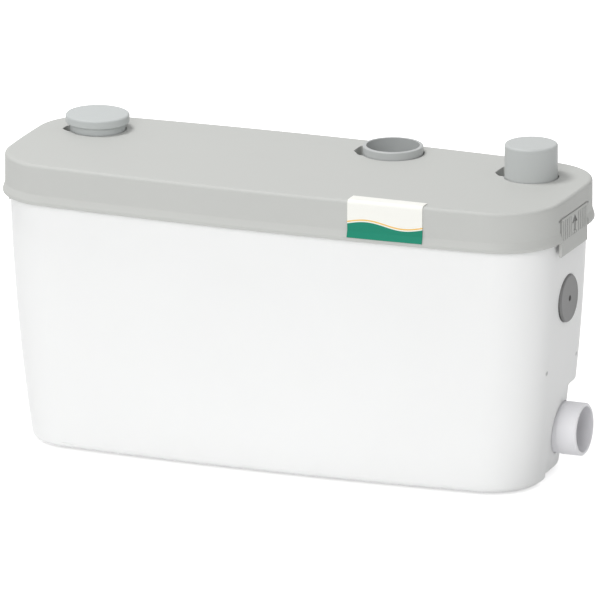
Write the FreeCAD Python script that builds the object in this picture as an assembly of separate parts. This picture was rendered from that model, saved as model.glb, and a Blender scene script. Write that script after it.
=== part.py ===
import FreeCAD, Part
import math
import os

from FreeCAD import Vector

# Sewage lifting station: a moulded tank with a grey cover, three fittings in the cover, a
# plugged side inlet and a discharge spigot, with its pump, motor and level sensing inside.
# Millimetres. +Z is up, +X points to the discharge end, +Y to the wall behind. The origin is
# the middle of the footprint, on the floor.

# Case: overall sizes
PAD_STANDOFF = 2.0            # rubber pads hold the tank off the floor
BODY_HEIGHT = 222.5           # tank bottom to cover top
COVER_LENGTH = 442.0
COVER_WIDTH = 151.4
COVER_CORNER_R = 46.5
END_BOW = 0.56                # how far each end bulges past a straight line
SIDE_BOW = 5.95               # how far each long side bulges
COVER_SKIRT = 31.1            # height of the cover's side wall
COVER_WALL = 2.5
COVER_EDGE_R = 2.4
BEAD_OUT = 1.6                # rolled bead along the lower edge of the cover
BEAD_BAND = 2.8               # straight band of the bead
BEAD_FLARE = 5.3              # height over which the wall flares out to the bead
COVER_RIB = 2.0               # stiffening ribs under the cover
COVER_RIB_DEPTH = 7.0
LEFT_RIB_INSETS = (101.0, 151.0, 201.0)
RIGHT_RIB_INSET = 111.0

# Tank
TANK_SETBACK = 4.05           # tank wall inside the cover's outline
TANK_WALL = 3.0
TANK_FLOOR = 3.0
END_DRAFT = 2.79              # inward lean of each end over the tank's height
END_SWEEP = 12.2              # extra curve of each end towards the foot
SIDE_DRAFT = 10.23            # inward lean of each long side
CORNER_DRAFT = 3.87           # how much the corner radius shrinks
FOOT_FILLET = 5.4
RIM_ABOVE_SKIRT = 8.6         # tank rim above the cover's lower edge
GASKET_HEIGHT = 4.0
GASKET_LIP = 1.5              # gasket overhang inside the rim
RECESS_DEPTH = 4.8            # shallow recess around the discharge spigot
RECESS_RADIUS = 36.0          # its rounded upper corner, concentric with the spigot
RECESS_LENGTH = 45.0          # how far it runs back along the rear wall
PAD_RADIUS = 13.0
PAD_INSET = 30.0              # pad centres, in from the foot's ends
PAD_SPREAD = 32.0             # pad centres, off the centre line

# Openings in the cover
CUTOUT_GAP = 0.8              # gap around each fitting
CUTOUT_DEPTH = 14.0           # depth of the moulded pockets
POCKET_WALL = 2.0
NOTCH_R = 4.0                 # rounding of the notch beside each fitting
POCKET_FLOOR = 2.5

# Inlet collar, open: takes a 40 mm pipe
PIPE_RADIUS = 20.0
COLLAR_WALL = 2.75
INLET_INSET = 166.1           # inlet's centre, in from the +X end
INLET_Y = 54.2
COLLAR_PROUD = 6.1            # height above the cover
SEAL_THICK = 1.5
COLLAR_FLOOR = 2.5
SPOUT_RADIUS = 13.5
SPOUT_WALL = 2.5
SPOUT_OFFSET = 5.0            # spout centre, in from the collar's centre
SPOUT_LENGTH = 22.0

# Second inlet, blanked
BLANKED_INSET = 46.4          # its centre, in from the +X end
BLANKED_Y = 30.7
SOCKET_FLANGE = 2.5
SOCKET_LIP = 3.5              # flange past the tube
BLANKED_SPOUT = 13.0
CAP_PROUD = 25.9
CAP_INSERT = 12.0
CAP_WALL = 2.5
CAP_EDGE_R = 1.8
PIPE_FIT = 0.06               # radial running fit of the cap in its socket

# Vent
VENT_INSET = 45.0             # vent's centre, in from the -X end
VENT_Y = 36.3
VENT_NECK_R = 21.0
VENT_NECK_PROUD = 5.6
VENT_CAP_R = 24.0
VENT_CAP_THICK = 7.1
VENT_CAP_DOME = 0.6
VENT_CAP_EDGE_R = 1.6
VENT_BORE_R = 18.8
VENT_FIT = 0.08
BASKET_R = 17.0
BASKET_DEPTH = 44.0
BASKET_WALL = 1.6
VENT_SLOTS = 12

# End clips
CLIP_WIDTH = 54.0
CLIP_THICK = 2.4
CLIP_TOP_BELOW = 13.0         # hinge line below the cover's top
CLIP_HANG = 11.4              # clip end below the cover's lower edge
CLIP_GAP = 0.35               # slit around the clip
CLIP_Y = -2.0
CLIP_PROUD = 0.45             # clip face past the cover's end
CLIP_PIN_R = 0.7
CLIP_PIN_LENGTH = 3.0
CLIP_GROOVES = 13
CLIP_CATCH_GAP = 1.3          # behind the clip's plate, to the catch's tip
CATCH_WIDTH = 18.0
CATCH_LIFT = 4.0              # catch's lower face above the clip's foot

# Badge over the front edge
BADGE_INSET = 91.0            # in from the +X end
BADGE_LENGTH = 59.0
BADGE_BELOW = 28.0
BADGE_BACK = 13.0
BADGE_THICK = 0.6
BADGE_GAP = 0.1

# Side inlet with its rubber plug
SIDE_Y = -1.0
SIDE_BELOW = 81.5             # its axis below the cover's top
SIDE_BORE_R = 16.0            # takes a 32 mm pipe
SIDE_SOCKET_WALL = 2.5
SIDE_SOCKET_LENGTH = 26.0
PLUG_R = 18.1
PLUG_PROUD = 1.9
PLUG_DEPTH = 13.0
PLUG_FIT = 0.06
PLUG_SEAT = 1.2               # counterbore that the plug's flange sits in
PLUG_DIMPLE_R = 2.2

# Pump
PUMP_INSET = 149.0            # pump's axis, in from the +X end
DISCHARGE_Y = 23.0
DISCHARGE_Z = 33.0            # above the tank's bottom
PASSAGE = 26.0                # width and height of the pump's passage
PUMP_WALL = 3.0
VOLUTE_GROWTH = 2.7           # fall of the spiral's radius with each quarter turn
NOZZLE_REACH = 62.0
NOZZLE_BORE_R = 11.5
EYE_R = 14.0
IMPELLER_R = 26.0
IMPELLER_DISC = 2.5
BLADES = 5
BLADE_THICK = 2.2
BLADE_GAP = 1.0
HUB_R = 8.0
SHAFT_R = 5.0
SHAFT_FIT = 0.05
BACKPLATE_THICK = 5.0
BACKPLATE_R = 43.0
STRAINER_R = 27.0
STRAINER_WALL = 2.0
STRAINER_SLOTS = 16
FOOT_SPREAD = 42.0            # pump feet, out from the pump's axis
FOOT_ARM = 24.0
FOOT_THICK = 4.0
PUMP_SCREW_BITE = 3.0         # screw's end past its bush
CASING_SCREW_LENGTH = 13.0
CASING_HOLE_DEPTH = 12.0
CASING_BOSS_DEPTH = 16.0
BUSH_R = 7.5
BUSH_HEIGHT = 7.0

# Motor
MOTOR_R = 44.0
MOTOR_WALL = 2.5
MOTOR_HEIGHT = 92.0
MOTOR_FLOOR = 4.0
MOTOR_BOSS_DEPTH = 14.0
MOTOR_SCREW_DEPTH = 9.0       # screw's end below the housing's rim
BEARING_R = 15.0
BEARING_WIDTH = 9.0
STACK_HEIGHT = 40.0
STACK_START = 26.0
ROTOR_R = 19.0
AIR_GAP = 0.7
WINDING_HEIGHT = 9.5
HOOD_R = 24.0
HOOD_HEIGHT = 18.0

# Discharge line
SPIGOT_R = 20.0
SPIGOT_BORE_R = 17.3
SPIGOT_END_INSET = 0.2        # spigot's tip, in from the +X end
SPIGOT_NECK_R = 19.7          # tube inside the tank's wall
SPIGOT_SHOULDER_INSET = 15.9  # full radius starts just outside the tank
SPIGOT_FLANGE_R = 24.0
SPIGOT_FLANGE = 4.0
SPIGOT_BOSS_INSET = 39.0      # flat inner face of the tank's boss
SPIGOT_SEAL_WALL = 2.5
SPIGOT_SEAL_LENGTH = 8.0
VALVE_BORE_R = 20.0
VALVE_WALL = 3.0
VALVE_STUB = 12.0
FLAP_R = 15.5
FLAP_THICK = 2.7
FLAP_BOSS = 6.5
FLAP_BOSS_R = 8.0
FLAP_PIN_R = 1.5
FLAP_PIN_LIFT = 18.5          # pin above the valve's centre line
SLEEVE_WALL = 3.0
PIPE_GAP = 2.0

# Level sensing and electrics
BOX_INSET = 103.0             # in from the -X end
BOX_LENGTH = 90.0
BOX_Y0 = 25.0
BOX_Y1 = 61.0
BOX_BELOW = 38.5              # box's rim below the cover's top
BOX_HEIGHT = 56.0
BOX_WALL = 2.5
BOX_CORNER_R = 4.0
LID_THICK = 2.5
LID_SCREW_LENGTH = 10.0
SWITCH_INSET = 22.0           # switch's axis, in from the box's end
SWITCH_R = 14.0
SWITCH_HEIGHT = 13.0
TOWER_LENGTH = 12.0
TOWER_WIDTH = 14.0
TOWER_HEIGHT = 6.0
PLUNGER_SEAT = 4.0            # plunger's bore below the drum's top
PLUNGER_LENGTH = 12.5
PLUNGER_R = 2.0
PLUNGER_TRAVEL = 1.5
BELL_INSET = 113.0            # bell's axis, in from the -X end
BELL_Y = 36.0
BELL_R = 13.0
BELL_HEIGHT = 50.0
BELL_LIFT = 10.0
HOSE_D = 6.0
NIPPLE_R = 1.9
LEAD_D = 6.0
CAPACITOR_R = 13.0
CAPACITOR_LENGTH = 42.0
GLAND_BELOW = 16.0            # gland's axis below the box's rim
GLAND_R = 7.0
GLAND_HEX = 5.2               # thickness of the hexagon outside the tank
GLAND_NOSE = 2.8              # round nose past the hexagon
GLAND_GRIP = 6.6              # stretch at the nose that grips the cable
CABLE_BORE_R = 3.6
GLAND_RELIEF = 0.9            # wider bore through the barrel

# Fasteners
SCREW_R = 2.0
SCREW_HEAD_R = 3.6
SCREW_HEAD = 2.4
HOLE_FIT = 0.15

# Places worked out from the sizes above
CASE_END = COVER_LENGTH / 2
TANK_Z = PAD_STANDOFF
COVER_TOP = TANK_Z + BODY_HEIGHT
SKIRT_Z = COVER_TOP - COVER_SKIRT
UNDERSIDE_Z = COVER_TOP - COVER_WALL
RIM_Z = SKIRT_Z + RIM_ABOVE_SKIRT
GASKET_TOP = RIM_Z + GASKET_HEIGHT
FLOOR_Z = TANK_Z + TANK_FLOOR
TANK_LENGTH = COVER_LENGTH - 2 * TANK_SETBACK
TANK_WIDTH = COVER_WIDTH - 2 * TANK_SETBACK
TANK_CORNER_R = COVER_CORNER_R - TANK_SETBACK
COVER_END = COVER_LENGTH / 2 + END_BOW
POCKET_Z = COVER_TOP - CUTOUT_DEPTH
AXIS_Z = TANK_Z + DISCHARGE_Z
CASING_FLOOR_Z = AXIS_Z - PASSAGE / 2
CASING_TOP_Z = AXIS_Z + PASSAGE / 2
CASING_FOOT_Z = CASING_FLOOR_Z - PUMP_WALL
MOTOR_Z = CASING_TOP_Z + BACKPLATE_THICK
MOTOR_TOP = MOTOR_Z + MOTOR_HEIGHT
STACK_Z = MOTOR_Z + STACK_START
INLET_X = CASE_END - INLET_INSET
BLANKED_X = CASE_END - BLANKED_INSET
VENT_X = VENT_INSET - CASE_END
BADGE_X1 = CASE_END - BADGE_INSET
BADGE_X0 = BADGE_X1 - BADGE_LENGTH
PUMP_X = CASE_END - PUMP_INSET
SPIGOT_END = CASE_END - SPIGOT_END_INSET
SPIGOT_SHOULDER_X = CASE_END - SPIGOT_SHOULDER_INSET
SPIGOT_BOSS_X = CASE_END - SPIGOT_BOSS_INSET
NOZZLE_END = PUMP_X + NOZZLE_REACH
NOZZLE_R = NOZZLE_BORE_R + PUMP_WALL
VALVE_X0 = NOZZLE_END + PIPE_GAP
VALVE_BODY_X = VALVE_X0 + VALVE_STUB
VALVE_SEAT_X = VALVE_BODY_X + VALVE_WALL
VALVE_END_X = SPIGOT_BOSS_X - SPIGOT_FLANGE
SIDE_Z = BODY_HEIGHT - SIDE_BELOW
SIDE_AXIS_Z = TANK_Z + SIDE_Z
BOX_Z0 = BODY_HEIGHT - BOX_BELOW - BOX_HEIGHT
BOX_FLOOR_Z = TANK_Z + BOX_Z0
BOX_TOP_Z = BOX_FLOOR_Z + BOX_HEIGHT
BOX_X0 = BOX_INSET - CASE_END
BOX_X1 = BOX_X0 + BOX_LENGTH
SWITCH_X = BOX_X0 + SWITCH_INSET
BELL_X = BELL_INSET - CASE_END
BOX_MID_Y = (BOX_Y0 + BOX_Y1) / 2
GLAND_Z = BOX_Z0 + BOX_HEIGHT - GLAND_BELOW
GLAND_AXIS_Z = TANK_Z + GLAND_Z
GLAND_X = (BOX_X0 + BOX_X1) / 2
CLIP_HINGE_Z = COVER_TOP - CLIP_TOP_BELOW
CLIP_FOOT_Z = SKIRT_Z - CLIP_HANG
CLIP_FACE_X = COVER_END + CLIP_PROUD
COLLAR_Z = POCKET_Z + SEAL_THICK
COLLAR_R = PIPE_RADIUS + COLLAR_WALL

# Outline of the notch beside each fitting, as offsets from the fitting's centre
INLET_NOTCH = [(-29.4, 11), (-29.4, -5), (-22, -15), (-5, -15), (-5, 11)]
BLANKED_NOTCH = [(-29, 19), (-29, 0.5), (-23.3, -7), (-5, -7), (-5, 19)]
VENT_NOTCH = [(-24.4, 1), (-24.4, -10), (-18, -15), (-5, -15), (-5, 1)]


def rod(radius, length, at, axis=Vector(0, 0, 1)):
    return Part.makeCylinder(radius, length, at, axis)


def ring(outer, inner, length, at, axis=Vector(0, 0, 1)):
    return rod(outer, length, at, axis).cut(rod(inner, length, at, axis))


def block(x0, x1, y0, y1, z0, z1):
    return Part.makeBox(x1 - x0, y1 - y0, z1 - z0, Vector(x0, y0, z0))


def fuse(shapes):
    return shapes[0].multiFuse(shapes[1:]).removeSplitter()


def polygon(points, z):
    corners = [Vector(x, y, z) for x, y in points]
    return Part.Face(Part.makePolygon(corners + corners[:1]))


def group(shapes):
    return Part.makeCompound(shapes)


def polar(radius, angle, z=0.0):
    return Vector(radius * math.cos(angle), radius * math.sin(angle), z)


def bow_radius(half_chord, bow):
    return (half_chord ** 2 + bow ** 2) / (2 * bow)


def bowed_outline(length, width, corner_r, z):
    """Rounded rectangle with outward bowed sides, as one wire of eight tangent arcs."""
    half_x = length / 2 - corner_r
    half_y = width / 2 - corner_r
    side_dir = Vector(half_x, bow_radius(half_x, SIDE_BOW) - SIDE_BOW, 0).normalize()
    end_dir = Vector(bow_radius(half_y, END_BOW) - END_BOW, half_y, 0).normalize()
    corner = Vector(half_x, half_y, 0)
    end_point = corner + end_dir * corner_r
    mid_point = corner + (end_dir + side_dir).normalize() * corner_r
    side_point = corner + side_dir * corner_r
    end_mid = Vector(length / 2 + END_BOW, 0, 0)
    side_mid = Vector(0, width / 2 + SIDE_BOW, 0)
    lap = []
    for sx, sy in ((1, 1), (-1, 1), (-1, -1), (1, -1)):
        quarter = [end_point, mid_point, side_point]
        if sx != sy:
            quarter.reverse()
        lap.extend(Vector(p.x * sx, p.y * sy, z) for p in quarter)
        middle = side_mid if sx == sy else end_mid
        lap.append(Vector(middle.x * sx, middle.y * sy, z))
    lap.append(lap[0])
    arcs = [Part.Arc(lap[i], lap[i + 1], lap[i + 2]).toShape() for i in range(0, 16, 2)]
    return Part.Wire(arcs)


def prism(wire, height):
    return Part.Face(wire).extrude(Vector(0, 0, height))


def outer_wires(shape, z):
    """Edges of a shape that lie flat at one height."""
    return [e for e in shape.Edges
            if abs(e.BoundBox.ZMin - z) < 1e-3 and abs(e.BoundBox.ZMax - z) < 1e-3]


def screws(places, length, axis):
    """Pan head screws: each place is the point under the head, and the shank goes along axis."""
    made = []
    for place in places:
        head = rod(SCREW_HEAD_R, SCREW_HEAD, place - axis * SCREW_HEAD, axis)
        rim = [e for e in head.Edges if len(e.Vertexes) == 1
               and e.CenterOfMass.distanceToPoint(place - axis * SCREW_HEAD) < 1e-6]
        head = head.makeFillet(1.0, rim)
        made.append(head.fuse(rod(SCREW_R, length, place, axis)))
    return group(made)


def screw_holes(places, length, axis):
    return [rod(SCREW_R + HOLE_FIT, length, place, axis) for place in places]


# Case


def tank_inset(z):
    """Inset of ends, of long sides, and loss of corner radius at a height on the tank."""
    t = (SKIRT_Z - z) / (SKIRT_Z - TANK_Z)
    return END_DRAFT * t + END_SWEEP * t * t, SIDE_DRAFT * t, CORNER_DRAFT * t


def tank_outline(z, inset=0.0):
    end_in, side_in, corner_loss = tank_inset(z)
    return bowed_outline(TANK_LENGTH - 2 * (end_in + inset),
                         TANK_WIDTH - 2 * (side_in + inset),
                         TANK_CORNER_R - corner_loss - inset, z)


def tank_loft(inset, bottom, top=RIM_Z):
    heights = [bottom + (top - bottom) * share for share in (0.0, 0.35, 0.7, 1.0)]
    return Part.makeLoft([tank_outline(z, inset) for z in heights], True, False)


def end_wall_x(z, inset=0.0):
    return TANK_LENGTH / 2 - tank_inset(z)[0] - inset + END_BOW


def back_wall_y(x, z, inset=0.0):
    """Outer face of the long wall behind, at a place along the tank."""
    end_in, side_in, corner_loss = tank_inset(z)
    radius = TANK_CORNER_R - corner_loss
    half_x = TANK_LENGTH / 2 - end_in - radius
    arc_r = bow_radius(half_x, SIDE_BOW) + radius
    crown = TANK_WIDTH / 2 - side_in + SIDE_BOW
    return crown - arc_r + math.sqrt(arc_r ** 2 - x ** 2) - inset


def recess_prism(grow):
    """Room around the spigot: open below, at the end and behind, with one rounded corner."""
    radius = RECESS_RADIUS + grow
    left = DISCHARGE_Y - radius
    top = AXIS_Z + radius
    x0 = end_wall_x(AXIS_Z) - RECESS_LENGTH - grow
    diagonal = radius * math.sqrt(0.5)
    far = COVER_WIDTH
    low = TANK_Z - far
    corner = [Vector(x0, left, AXIS_Z), Vector(x0, DISCHARGE_Y - diagonal, AXIS_Z + diagonal),
              Vector(x0, DISCHARGE_Y, top)]
    edges = [Part.makeLine(Vector(x0, left, low), corner[0]), Part.Arc(*corner).toShape(),
             Part.makeLine(corner[2], Vector(x0, far, top)),
             Part.makeLine(Vector(x0, far, top), Vector(x0, far, low)),
             Part.makeLine(Vector(x0, far, low), Vector(x0, left, low))]
    return Part.Face(Part.Wire(edges)).extrude(Vector(COVER_LENGTH, 0, 0))


def tank_solid(inset, bottom, fillet):
    plain = tank_loft(inset, bottom)
    plain = plain.makeFillet(fillet, outer_wires(plain, bottom))
    deep = tank_loft(inset + RECESS_DEPTH, bottom)
    deep = deep.makeFillet(fillet, outer_wires(deep, bottom))
    return plain.cut(recess_prism(inset)).fuse(deep)


def pump_feet():
    return [Vector(PUMP_X, 0, 0) + polar(FOOT_SPREAD, math.radians(a)) for a in (-45, 135, 225)]


def tank():
    outer = tank_solid(0.0, TANK_Z, FOOT_FILLET)
    cavity = tank_solid(TANK_WALL, FLOOR_Z, FOOT_FILLET - TANK_WALL)
    body = outer.cut(cavity)
    boss_r = SPIGOT_R + SPIGOT_SEAL_WALL + 3.5
    bosses = [rod(boss_r, COVER_LENGTH, Vector(SPIGOT_BOSS_X, DISCHARGE_Y, AXIS_Z), X)]
    side_x = end_wall_x(SIDE_AXIS_Z) - PLUG_DEPTH - PLUG_SEAT
    bosses.append(rod(SIDE_BORE_R + SIDE_SOCKET_WALL + 3, COVER_LENGTH,
                      Vector(side_x, SIDE_Y, SIDE_AXIS_Z), X))
    gland_y = back_wall_y(GLAND_X, GLAND_AXIS_Z)
    for rib_x in (BOX_X0 + 15, BOX_X1 - 15):
        bosses.append(block(rib_x - 2, rib_x + 2, BOX_Y1, COVER_WIDTH, BOX_FLOOR_Z, BOX_TOP_Z))
    bosses.append(block(BELL_X - 2, BELL_X + 2, bell_arm_y(), COVER_WIDTH, bell_arm_z(),
                        bell_arm_z() + 25))
    bosses.append(rod(GLAND_R + 4, COVER_WIDTH, Vector(GLAND_X, BOX_Y1, GLAND_AXIS_Z), Y))
    body = body.fuse([boss.common(outer) for boss in bosses])
    feet = [rod(BUSH_R, CASING_FOOT_Z - BUSH_HEIGHT - FLOOR_Z + 1, foot + Vector(0, 0, FLOOR_Z - 1))
            for foot in pump_feet()]
    catches = [clip_catch(), clip_catch().mirror(Vector(0, 0, 0), X)]
    body = body.fuse(feet + catches)
    cuts = [rod(SPIGOT_R + HOLE_FIT, COVER_LENGTH, Vector(SPIGOT_BOSS_X, DISCHARGE_Y, AXIS_Z), X),
            rod(SPIGOT_R + SPIGOT_SEAL_WALL, SPIGOT_SEAL_LENGTH,
                Vector(SPIGOT_BOSS_X, DISCHARGE_Y, AXIS_Z), X),
            rod(SIDE_BORE_R + SIDE_SOCKET_WALL, COVER_LENGTH,
                Vector(side_x, SIDE_Y, SIDE_AXIS_Z), X),
            rod(PLUG_R + 0.3, COVER_LENGTH, Vector(plug_seat_x(), SIDE_Y, SIDE_AXIS_Z), X),
            rod(GLAND_R + HOLE_FIT, COVER_WIDTH, Vector(GLAND_X, BOX_Y1, GLAND_AXIS_Z), Y),
            rod(GLAND_R + 4, COVER_WIDTH, Vector(GLAND_X, gland_y - 0.8, GLAND_AXIS_Z), Y)]
    depth = CASING_FOOT_Z - BUSH_HEIGHT - FLOOR_Z
    cuts.extend(screw_holes([f + Vector(0, 0, FLOOR_Z + 0.5) for f in pump_feet()], depth + 1, Z))
    return body.cut(cuts)


def pad_places():
    half = TANK_LENGTH / 2 - END_DRAFT - END_SWEEP - PAD_INSET
    return [Vector(sx * half, sy * PAD_SPREAD, 0) for sx in (-1, 1) for sy in (-1, 1)]


def rubber_pads():
    pads = [rod(PAD_RADIUS, PAD_STANDOFF, place) for place in pad_places()]
    return group(pads)


def cover_envelope(grow):
    """Outside of the cover, evenly grown: straight wall, rounded top edge and flared bead."""
    def outline(out, z):
        return bowed_outline(COVER_LENGTH + 2 * out, COVER_WIDTH + 2 * out,
                             COVER_CORNER_R + out, z)
    main = prism(outline(grow, SKIRT_Z), COVER_SKIRT + grow)
    main = main.makeFillet(COVER_EDGE_R + grow, outer_wires(main, COVER_TOP + grow))
    band_top = SKIRT_Z + BEAD_BAND
    bead = prism(outline(grow + BEAD_OUT, SKIRT_Z), BEAD_BAND)
    bead = bead.makeFillet(BEAD_OUT * 0.75, outer_wires(bead, SKIRT_Z))
    flare = Part.makeLoft([outline(grow + BEAD_OUT, band_top),
                           outline(grow, band_top + BEAD_FLARE)], True, True)
    return main.fuse([bead, flare])


def pocket(x, y, hole_r, body_r, notch, floor_hole=None):
    """What one fitting adds to the cover, and what it cuts away."""
    place = Vector(x, y, 0)
    depth = CUTOUT_DEPTH
    shift = [(x + px, y + py) for px, py in notch]
    notch_hole = polygon(shift, POCKET_Z).makeOffset2D(-NOTCH_R, 2).makeOffset2D(NOTCH_R, 0)
    wall = notch_hole.makeOffset2D(POCKET_WALL, 0).extrude(Vector(0, 0, depth - COVER_WALL / 2))
    floor_z = POCKET_Z - POCKET_FLOOR
    notch_floor = notch_hole.makeOffset2D(POCKET_WALL, 0)
    notch_floor.translate(Vector(0, 0, -POCKET_FLOOR))
    added = [wall, notch_floor.extrude(Vector(0, 0, POCKET_FLOOR)),
             rod(body_r + POCKET_WALL, UNDERSIDE_Z - floor_z + 0.5, place + Vector(0, 0, floor_z))]
    removed = [notch_hole.extrude(Vector(0, 0, depth + 1)),
               rod(hole_r, depth + 1, place + Vector(0, 0, POCKET_Z)),
               rod(body_r, UNDERSIDE_Z - POCKET_Z, place + Vector(0, 0, POCKET_Z))]
    if floor_hole is None:
        removed.append(rod(body_r, POCKET_FLOOR + 1, place + Vector(0, 0, floor_z - 1)))
    else:
        hole_at, radius = floor_hole
        removed.append(rod(radius, POCKET_FLOOR + 2, hole_at + Vector(0, 0, floor_z - 1)))
    return added, removed


def pockets():
    gap = CUTOUT_GAP
    spout_at = Vector(INLET_X, INLET_Y - SPOUT_OFFSET, 0)
    return [pocket(INLET_X, INLET_Y, COLLAR_R + gap, COLLAR_R + gap, INLET_NOTCH,
                   (spout_at, SPOUT_RADIUS + SPOUT_WALL + HOLE_FIT)),
            pocket(BLANKED_X, BLANKED_Y, PIPE_RADIUS + gap, COLLAR_R + HOLE_FIT, BLANKED_NOTCH),
            pocket(VENT_X, VENT_Y, VENT_NECK_R + gap, VENT_NECK_R + gap, VENT_NOTCH,
                   (Vector(VENT_X, VENT_Y, 0), BASKET_R + 2 * HOLE_FIT))]


def clip_window():
    """Window in the cover's right end that the clip fills, with a slit all round."""
    y0 = CLIP_Y - CLIP_WIDTH / 2 - CLIP_GAP
    y1 = CLIP_Y + CLIP_WIDTH / 2 + CLIP_GAP
    return block(COVER_END - COVER_WALL - 1.0, COVER_END + 9, y0, y1, SKIRT_Z - 1,
                 CLIP_HINGE_Z + CLIP_GAP)


def clip_pin_at(y):
    return Vector(CLIP_FACE_X - CLIP_THICK / 2, y, CLIP_HINGE_Z - CLIP_THICK / 2)


def clip_pin_hole():
    """Bore in the cover's wall, on both sides of the window, for the clip's stub pins."""
    reach = CLIP_PIN_LENGTH + CLIP_GAP + 0.2
    y0 = CLIP_Y - CLIP_WIDTH / 2 - reach
    return rod(CLIP_PIN_R + SHAFT_FIT, CLIP_WIDTH + 2 * reach, clip_pin_at(y0), Y)


def clip_catch():
    """Wedge on the tank's end wall that the clip's hook closes over."""
    z = CLIP_FOOT_Z + CATCH_LIFT
    y = CLIP_Y - CATCH_WIDTH / 2
    wall_x = end_wall_x(z)
    tip = CLIP_FACE_X - CLIP_THICK - CLIP_CATCH_GAP
    points = [Vector(wall_x - 1.5, y, z + 5.5), Vector(tip, y, z + 1.5), Vector(tip, y, z),
              Vector(wall_x - 1.5, y, z)]
    return Part.Face(Part.makePolygon(points + points[:1])).extrude(Vector(0, CATCH_WIDTH, 0))


def right_clip():
    y0 = CLIP_Y - CLIP_WIDTH / 2
    y1 = CLIP_Y + CLIP_WIDTH / 2
    x1 = CLIP_FACE_X
    x0 = x1 - CLIP_THICK
    pin = clip_pin_at(y0)
    plate = block(x0, x1, y0, y1, CLIP_FOOT_Z, pin.z)
    upright = [e for e in plate.Edges if abs(e.BoundBox.ZLength - pin.z + CLIP_FOOT_Z) < 1e-6
               and e.BoundBox.XMin > x1 - 0.1]
    foot = [e for e in plate.Edges if e.BoundBox.ZMax < CLIP_FOOT_Z + 0.1
            and e.BoundBox.YLength > 1]
    plate = plate.makeFillet(0.7, upright + foot)
    rounded_top = rod(CLIP_THICK / 2, CLIP_WIDTH, pin, Y)
    stubs = rod(CLIP_PIN_R, CLIP_WIDTH + 2 * CLIP_PIN_LENGTH, clip_pin_at(y0 - CLIP_PIN_LENGTH), Y)
    stiffener = block(x0 - 0.8, x0 + 0.2, y0 + 3, y1 - 3, CLIP_FOOT_Z + 11, pin.z - 6)
    nib_z = CLIP_FOOT_Z + 0.4
    hook_half = CATCH_WIDTH / 2 - 1
    hook = block(x0 - CLIP_CATCH_GAP + 0.3, x0 + 0.2, CLIP_Y - hook_half, CLIP_Y + hook_half,
                 nib_z, nib_z + CATCH_LIFT - 1)
    body = fuse([plate, rounded_top, stubs, stiffener, hook])
    grooves = []
    pitch = (CLIP_WIDTH - 4) / CLIP_GROOVES
    for i in range(CLIP_GROOVES):
        y = y0 + 2 + pitch * (i + 0.5)
        low = CLIP_HINGE_Z - 17.5
        high = CLIP_HINGE_Z - 2.0
        if abs(y - CLIP_Y) < 7.5:
            high = low + 2.0
        grooves.append(block(x1 - 0.4, x1 + 1, y - pitch / 7, y + pitch / 7, low, high))
    arrow_z = CLIP_HINGE_Z - 8.6
    head = [(CLIP_Y - 5.5, arrow_z), (CLIP_Y + 5.5, arrow_z), (CLIP_Y, arrow_z + 6)]
    corners = [Vector(x1 - 0.6, y, z) for y, z in head]
    arrow = Part.Face(Part.makePolygon(corners + corners[:1])).extrude(Vector(2, 0, 0))
    stem = block(x1 - 0.6, x1 + 1, CLIP_Y - 2, CLIP_Y + 2, arrow_z - 6.5, arrow_z + 0.1)
    return body.cut(grooves + [arrow, stem])


def left_clip():
    return right_clip().mirror(Vector(0, 0, 0), X)


def cover():
    outer = cover_envelope(0.0)
    hollow = prism(bowed_outline(COVER_LENGTH - 2 * COVER_WALL, COVER_WIDTH - 2 * COVER_WALL,
                                 COVER_CORNER_R - COVER_WALL, SKIRT_Z - 1),
                   UNDERSIDE_Z - SKIRT_Z + 1)
    shell = outer.cut(hollow)
    land = prism(tank_outline(RIM_Z), UNDERSIDE_Z - GASKET_TOP + 0.5)
    land = land.cut(prism(tank_outline(RIM_Z, TANK_WALL), UNDERSIDE_Z - GASKET_TOP + 1))
    land.translate(Vector(0, 0, GASKET_TOP - RIM_Z))
    inside = prism(tank_outline(RIM_Z, TANK_WALL / 2), UNDERSIDE_Z - RIM_Z + 0.5)
    ribs = []
    rib_places = [inset - CASE_END for inset in LEFT_RIB_INSETS] + [CASE_END - RIGHT_RIB_INSET]
    for rib_x in rib_places:
        rib = block(rib_x - COVER_RIB / 2, rib_x + COVER_RIB / 2, -COVER_WIDTH, COVER_WIDTH,
                    UNDERSIDE_Z - COVER_RIB_DEPTH, UNDERSIDE_Z + 0.4)
        ribs.append(rib.common(inside))
    added = [land] + ribs
    removed = []
    for more, less in pockets():
        added.extend(more)
        removed.extend(less)
    trim = outer.common(block(-COVER_LENGTH, COVER_LENGTH, -COVER_WIDTH, COVER_WIDTH, SKIRT_Z,
                              COVER_TOP))
    body = shell.fuse([part.common(trim) for part in added])
    for cut in (clip_window(), clip_pin_hole()):
        removed.extend([cut, cut.mirror(Vector(0, 0, 0), X)])
    return body.cut(removed).removeSplitter()


def cover_gasket():
    band = prism(tank_outline(RIM_Z, 0.2), GASKET_HEIGHT)
    return band.cut(prism(tank_outline(RIM_Z, TANK_WALL + GASKET_LIP), GASKET_HEIGHT))


def badge():
    front = COVER_WIDTH / 2 + SIDE_BOW
    window = block(BADGE_X0, BADGE_X1, -front - 9, -front + BADGE_BACK, COVER_TOP - BADGE_BELOW,
                   COVER_TOP + 9)
    plate = cover_envelope(BADGE_GAP + BADGE_THICK).cut(cover_envelope(BADGE_GAP))
    return plate.common(window)


# Fittings in the cover


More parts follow.
